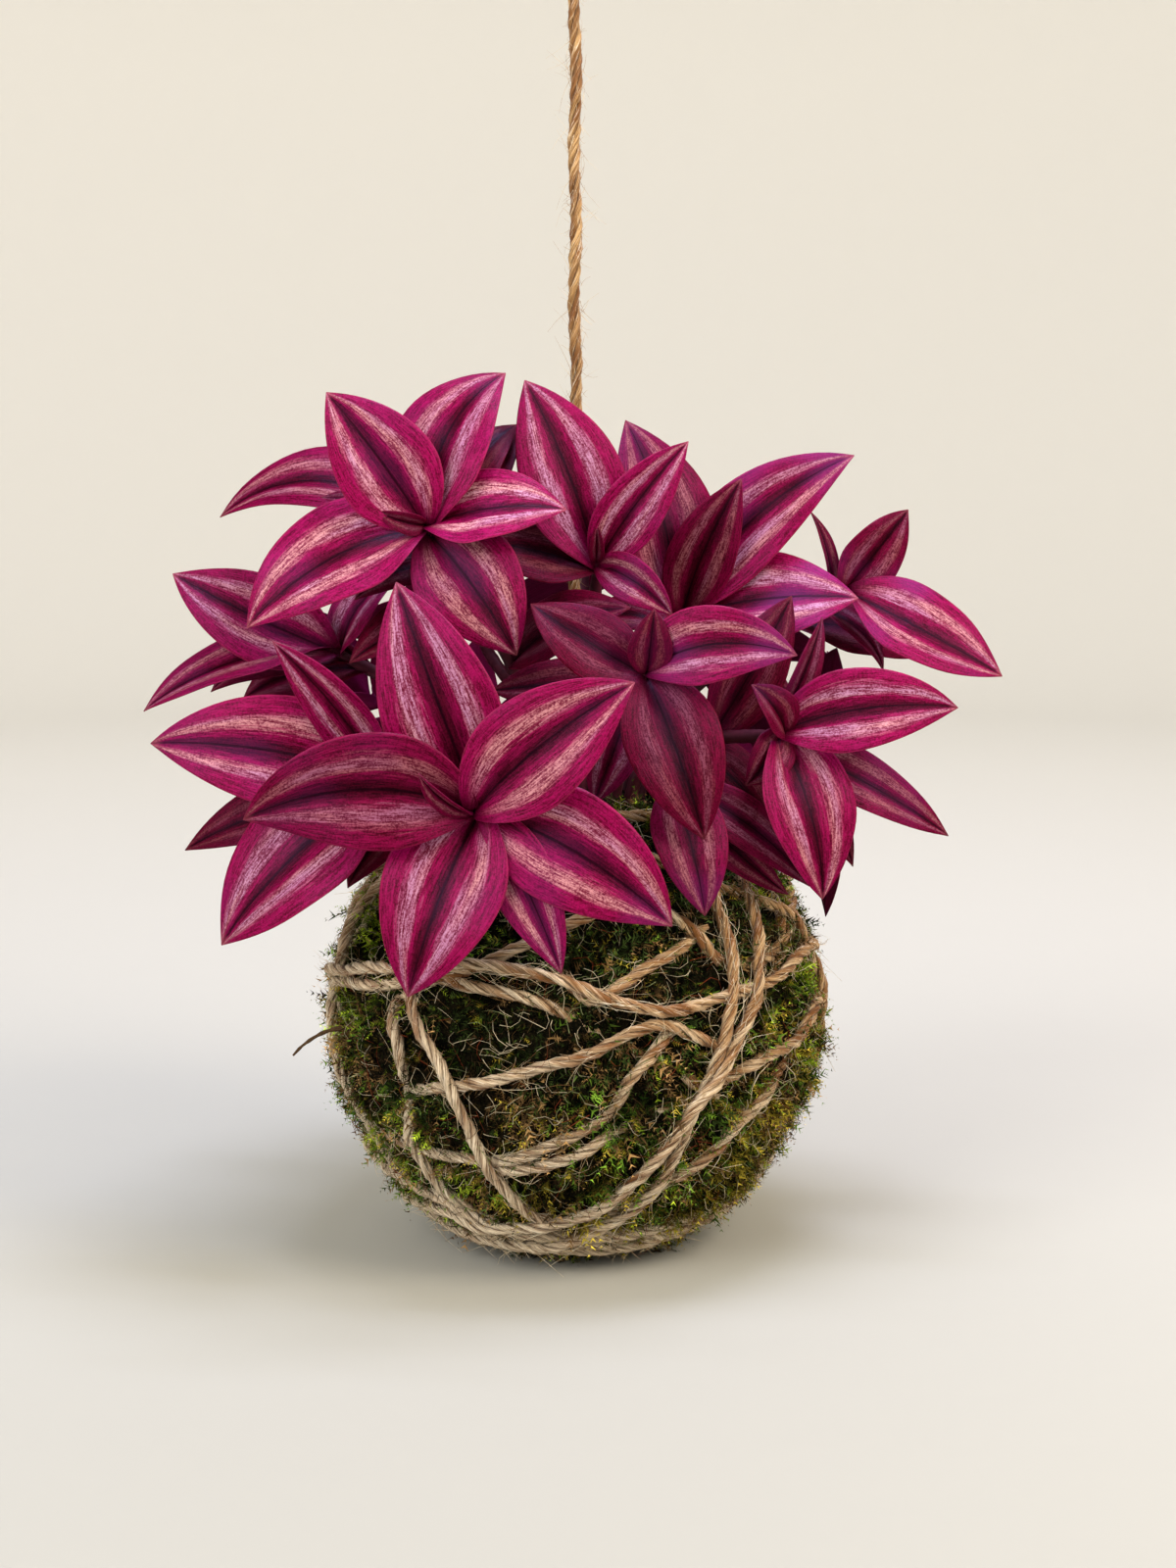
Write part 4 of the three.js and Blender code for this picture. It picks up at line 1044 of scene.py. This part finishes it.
def leaf_blade(base, tip, axis, width, arch, lift, roll, fold, seed):
    """A blade of two skins: its points and faces, and each point's place on it and share of upper skin."""
    along = tip - base
    forward = unit(along)
    upper = unit(axis - forward * (axis @ forward))
    upper = rotated(upper, forward, math.radians(roll))
    bow = upper * arch + lift * (np.array([0, 0, 1.0]) - forward * forward[2])
    # The middle line arches along the blade.
    t = np.linspace(0, 1, LEAF_ROWS + 1) ** 1.08
    middle, ahead = cubic((base, base + 0.3 * along + 1.2 * bow, base + 0.72 * along + bow, tip), t)
    up = unit(upper - ahead * (ahead @ upper)[:, None])
    across = np.cross(ahead, up)
    # Each half is folded up from the midrib, most of all where it clasps the stem, and its rim waves.
    half = np.maximum(width / 2 * leaf_outline(t), 0.12)
    closing = np.maximum(0, 1 - t / CLASP) ** 2
    folded = np.radians(fold + (BASE_FOLD - fold) * closing)
    u = np.sin(np.linspace(-1, 1, LEAF_COLUMNS + 1) * np.pi / 2 * 0.92) / math.sin(np.pi / 2 * 0.92)
    keel = np.sqrt(u**2 + 0.004) - 0.063
    wave = RIM_WAVES * t[:, None] + seed + 0.25 * np.sign(u)[None]
    ripple = RIM_RIPPLE * width * np.sin(2 * np.pi * wave) * np.abs(u)[None] ** 3
    crown = keel[None] * np.sin(folded)[:, None] - HOLLOW * u[None] ** 2
    crown = crown * half[:, None] + ripple * np.sin(np.pi * t)[:, None]
    sheet = middle[:, None] + across[:, None] * (half * np.cos(folded))[:, None, None] * u[None, :, None]
    sheet = sheet + up[:, None] * crown[..., None]
    # The two skins lie on both sides of that sheet, and a narrow edge joins them.
    lengthwise = np.gradient(sheet, axis=0)
    crosswise = np.gradient(sheet, axis=1)
    normal = unit(np.cross(crosswise, lengthwise) + 1e-9)
    flesh = LEAF_THICKNESS / 2 * np.sqrt(1.04 - u**2)[None, :, None]
    flesh = flesh * (0.35 + 0.65 * np.sin(np.pi * t) ** 0.5)[:, None, None]
    rows, columns = sheet.shape[:2]
    top = (sheet + normal * flesh).reshape(-1, 3)
    under = (sheet - normal * flesh).reshape(-1, 3)
    skin = squares(rows, columns)
    index = np.arange(rows * columns).reshape(rows, columns)
    rim = np.concatenate([index[:-1, 0], index[-1, :-1], index[:0:-1, -1], index[0, :0:-1]])
    onward = np.roll(rim, -1)
    edge = np.stack([rim, onward, onward + len(top), rim + len(top)], 1)
    place = np.stack(np.broadcast_arrays(u[None, :], t[:, None], np.full((1, 1), seed)), -1).reshape(-1, 3)
    side = np.concatenate([np.ones(len(top)), np.zeros(len(under))])
    faces = np.concatenate([skin, skin[:, ::-1] + len(top), edge])
    return np.concatenate([top, under]), faces, np.tile(place, (2, 1)), side


leaf = Finish("striped leaf", {"Specular IOR Level": 0.20, "Specular Tint": paint(226, 176, 250)})
blade_across, blade_along, blade_seed = leaf.parts(leaf.attribute("blade"))
top_side = leaf.attribute("upper", 2)
off_middle = abs(blade_across)


def along_blade(across, along, seed, detail, roughness):
    """Grain drawn out along a blade, with its own pattern on each leaf."""
    sockets = {0: blade_across * across, 1: blade_along * along, 2: blade_seed * seed}
    return leaf.grain(leaf.node("ShaderNodeCombineXYZ", None, sockets), 1.0, detail, roughness)


broad = along_blade(3.0, 2.0, 17.0, 2.0, 0.5)
streaks = along_blade(15.0, 4.2, 31.0, 5.0, 0.75)
threads = along_blade(34.0, 11.0, 23.0, 4.0, 0.7)
cells = leaf.grain(leaf.place(), 2300.0, 3.0, 0.7)
speckle = threads * 0.6 + cells * 0.4
# Older leaves are darker and their stripes fainter, and leaves in the shade of others are painted darker, as
# shade.
age_and_painted_shade = leaf.attribute("dull", 2)
chance_tone = leaf.node("ShaderNodeTexWhiteNoise", {"noise_dimensions": "1D"}, {"W": blade_seed}, output=0)
edge = off_middle + (streaks - 0.5) * 0.42 + (broad - 0.5) * 0.34
dark_middle = 1.0 - leaf.step(edge, 0.06, 0.30)
stripe = leaf.step(edge, 0.27, 0.41) * (1.0 - leaf.step(edge, 0.50, 0.70))
stripe = stripe * leaf.step(blade_along, 0.02, 0.28) * (0.45 + 0.55 * leaf.step(speckle, 0.40, 0.58))
stripe = stripe * (1.0 - 0.55 * age_and_painted_shade)
midrib = 1.0 - leaf.step(off_middle, 0.010, 0.045)
margin = leaf.step(off_middle, 0.95, 1.0)
speckled = leaf.step(speckle, 0.36, 0.62)
body = leaf.mix(speckled, paint(82, 0, 16), paint(176, 12, 94))
body = leaf.mix(dark_middle * 0.88, body, leaf.mix(speckled, paint(15, 0, 2), paint(78, 4, 22)))
# A lavender sheen is painted in patches, as the sky's reflection on the leaves, most of all on the right.
painted_sheen = leaf.step(leaf.grain(leaf.place(), 45.0, 1.0), 0.46, 0.70)
painted_sheen = painted_sheen * (0.14 + 0.30 * leaf.step(leaf.parts(leaf.place())[0], -0.02, 0.05))
body = leaf.mix(painted_sheen, body, paint(142, 52, 138))
silvered = leaf.step(broad + 0.2 * chance_tone, 0.46, 0.74)
silver = leaf.mix(silvered, paint(238, 176, 178), paint(224, 170, 212))
body = leaf.mix(stripe, body, leaf.mix(leaf.step(speckle, 0.40, 0.60), paint(138, 44, 72), silver))
# Over the stripes: the midrib, the margin, painted shade at the base and the dry tip
for share, colour in (
    (midrib * 0.8, paint(24, 0, 8)),
    (margin * 0.35, paint(196, 60, 104)),
    (0.6 - 0.6 * leaf.step(blade_along, 0.0, 0.16), paint(34, 0, 14)),
    (leaf.step(blade_along, 0.93, 1.0) * 0.5, paint(190, 96, 112)),
):
    body = leaf.mix(share, body, colour)
body = leaf.mix(0.90 * age_and_painted_shade, body, leaf.mix(1.0, body, paint(122, 36, 40), "MULTIPLY"))
under = leaf.mix(streaks, paint(66, 4, 36), paint(122, 14, 70))
leaf.feed(Base_Color=leaf.mix(top_side, under, body), Roughness=0.24 + 0.16 * cells)
leaf.bump(streaks * 0.35 + speckle * 0.65, 0.28)

stem = Finish("fleshy stem", {"Roughness": 0.45, "Specular IOR Level": 0.5})
stem_streaks = stem.grain(stem.stretched(stem.place(), (900.0, 900.0, 60.0)), 1.0, 2.0)
stem.feed(Base_Color=stem.mix(stem_streaks, paint(58, 10, 32), paint(104, 36, 56)))
stem.bump(stem_streaks, 0.1)

leaf_number = 0
for name, (crown, axis, root, leaves) in {**PLACED_SHOOTS, **SPIRAL_SHOOTS}.items():
    crown, axis = np.array(crown, float), unit(np.array(axis, float))
    corners = stem_corners(crown, axis, root)
    buried = corners[0] - [0, 0, ROOT_DEPTH]
    root_line = np.linspace(buried, corners[0], ROOT_POINTS)[:-1]
    line = np.concatenate([root_line, cubic(corners, np.linspace(0, 1, STEM_POINTS))[0]])
    joints = 1 + JOINT_SWELL * np.cos(np.arange(len(line)) * 0.9) ** 8
    taper = np.interp(np.arange(len(line)), [0, len(line) - TIP_POINTS, len(line) - 1], [1, 0.95, 0.45])
    up = np.broadcast_to(unit(np.array([0.3, 0.9, 0.1])), line.shape)
    stalk = tubes(line[None], (STEM_RADIUS * joints * taper)[None], up[None], STEM_SIDES)
    blank = np.zeros(len(stalk[0]))
    grown = [(*stalk, np.zeros((len(blank), 3)), blank, blank, 1)]
    placed = isinstance(leaves, list)
    spots = placed_leaves(corners, leaves) if placed else spiral_leaves(corners, axis, leaves)
    for base, tip, *form, dull in spots:
        leaf_number += 1
        points, faces, place, side = leaf_blade(base, tip, axis, *form, leaf_number * SEED_STEP)
        grown.append((points, faces, place, side, np.full(len(points), dull), 0))
    points, faces, places, sides, dulls, is_stem = zip(*grown)
    finish_of_face = np.repeat(is_stem, [len(some) for some in faces])
    values = {"blade": np.concatenate(places), "upper": np.concatenate(sides), "dull": np.concatenate(dulls)}
    points, faces = gathered(zip(points, faces))
    piece = make_piece(f"leaves_{name}", points, faces, [leaf, stem], "leaf", values, finish_of_face)
    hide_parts(f"leafy_stem_{name}")


# Stage, lights and camera
# A pale floor that rises into a plain wall all round, three soft lights as from a window, a lamp and the sky,
# and the camera at the photograph's angle.

FLOOR_RINGS = (0.0, 400.0)
FLOOR_REACH = 1150.0
WALL_BEND = 500.0
WALL_HEIGHT = 1500.0
BEND_STEPS = 16
STAGE_SIDES = 96
LIT_SPOT = (0.0, -0.25, 0.0)
AMBIENT_COLOUR = paint(252, 248, 241)
AMBIENT_STRENGTH = 0.46
CAMERA_TARGET = np.array([3.0, 0.0, 110.0])
CAMERA_DISTANCE = 620.0
CAMERA_ELEVATION = math.radians(8)
FOCAL_PIXELS = 2649.6
FRAME_HEIGHT = 1600

bend = np.linspace(0, np.pi / 2, BEND_STEPS)
profile = [(ring, 0.0) for ring in FLOOR_RINGS]
profile += [(FLOOR_REACH + WALL_BEND * math.sin(a), WALL_BEND * (1 - math.cos(a))) for a in bend]
profile += [(FLOOR_REACH + WALL_BEND, WALL_HEIGHT)]
around = np.linspace(0, 2 * np.pi, STAGE_SIDES, endpoint=False)
points = np.array([[r * math.cos(a), r * math.sin(a), z] for r, z in profile for a in around])

# Round the spot where the lights fall the floor is painted a shade darker, so that floor and wall look alike.
# A shader measures in metres.
plaster = Finish("pale plaster", {"Roughness": 0.95, "Specular IOR Level": 0.1})
floor_place = plaster.stretched(plaster.place(), (1.0, 1.0, 0.0))
lit_reach = plaster.node(
    "ShaderNodeVectorMath", {"operation": "DISTANCE"}, {0: floor_place, 1: LIT_SPOT}, output=1
)
plaster_colour = plaster.mix(plaster.step(lit_reach, 0.0, 1.25), paint(181, 180, 171), paint(255, 253, 247))
plaster.feed(Base_Color=plaster_colour)
plaster.bump(plaster.grain(plaster.place(), 60.0, 3.0), 0.4, 0.4)
mesh = make_mesh("backdrop", points, squares(len(profile), STAGE_SIDES, True), [plaster])
mesh.update(calc_edges=True)
backdrop = add_object("backdrop", mesh)
backdrop.visible_shadow = False
backdrop.visible_glossy = False

bpy.context.scene.view_settings.view_transform = "Standard"

world = bpy.data.worlds.new("studio")
world.use_nodes = True
world.node_tree.nodes["Background"].inputs["Color"].default_value = AMBIENT_COLOUR
world.node_tree.nodes["Background"].inputs["Strength"].default_value = AMBIENT_STRENGTH
world.cycles_visibility.glossy = False
bpy.context.scene.world = world


def looking(way):
    """The turn that points a light or a camera in a direction, with its top upwards."""
    return Vector(way).to_track_quat("-Z", "Y")


def soft_light(name, place, aim, size, power, colour):
    """A square soft light, in millimetres and watts."""
    data = bpy.data.lights.new(name, "AREA")
    data.size = size / 1000
    data.energy = power
    data.color = colour
    light = add_object(name, data)
    light.location = np.array(place) / 1000
    light.rotation_mode = "QUATERNION"
    light.rotation_quaternion = looking(unit(np.array(aim, float) - np.array(place, float)))


soft_light("window", (-620, -760, 620), aim=(0, 0, 110), size=620, power=7.4, colour=(1.0, 0.985, 0.96))
soft_light("lamp", (560, -420, 620), aim=(10, 0, 120), size=420, power=5.2, colour=(1.0, 0.87, 0.70))
soft_light("sky", (90, -20, 780), aim=(0, 0, 120), size=260, power=4.4, colour=(0.72, 0.76, 1.0))

ahead = np.array([0, math.cos(CAMERA_ELEVATION), -math.sin(CAMERA_ELEVATION)])
camera_data = bpy.data.cameras.new("camera")
camera_data.lens = camera_data.sensor_width * FOCAL_PIXELS / FRAME_HEIGHT
camera_data.clip_start = 0.01
camera = add_object("camera", camera_data)
camera.location = (CAMERA_TARGET - ahead * CAMERA_DISTANCE) / 1000
camera.rotation_mode = "QUATERNION"
camera.rotation_quaternion = looking(ahead)
bpy.context.scene.camera = camera
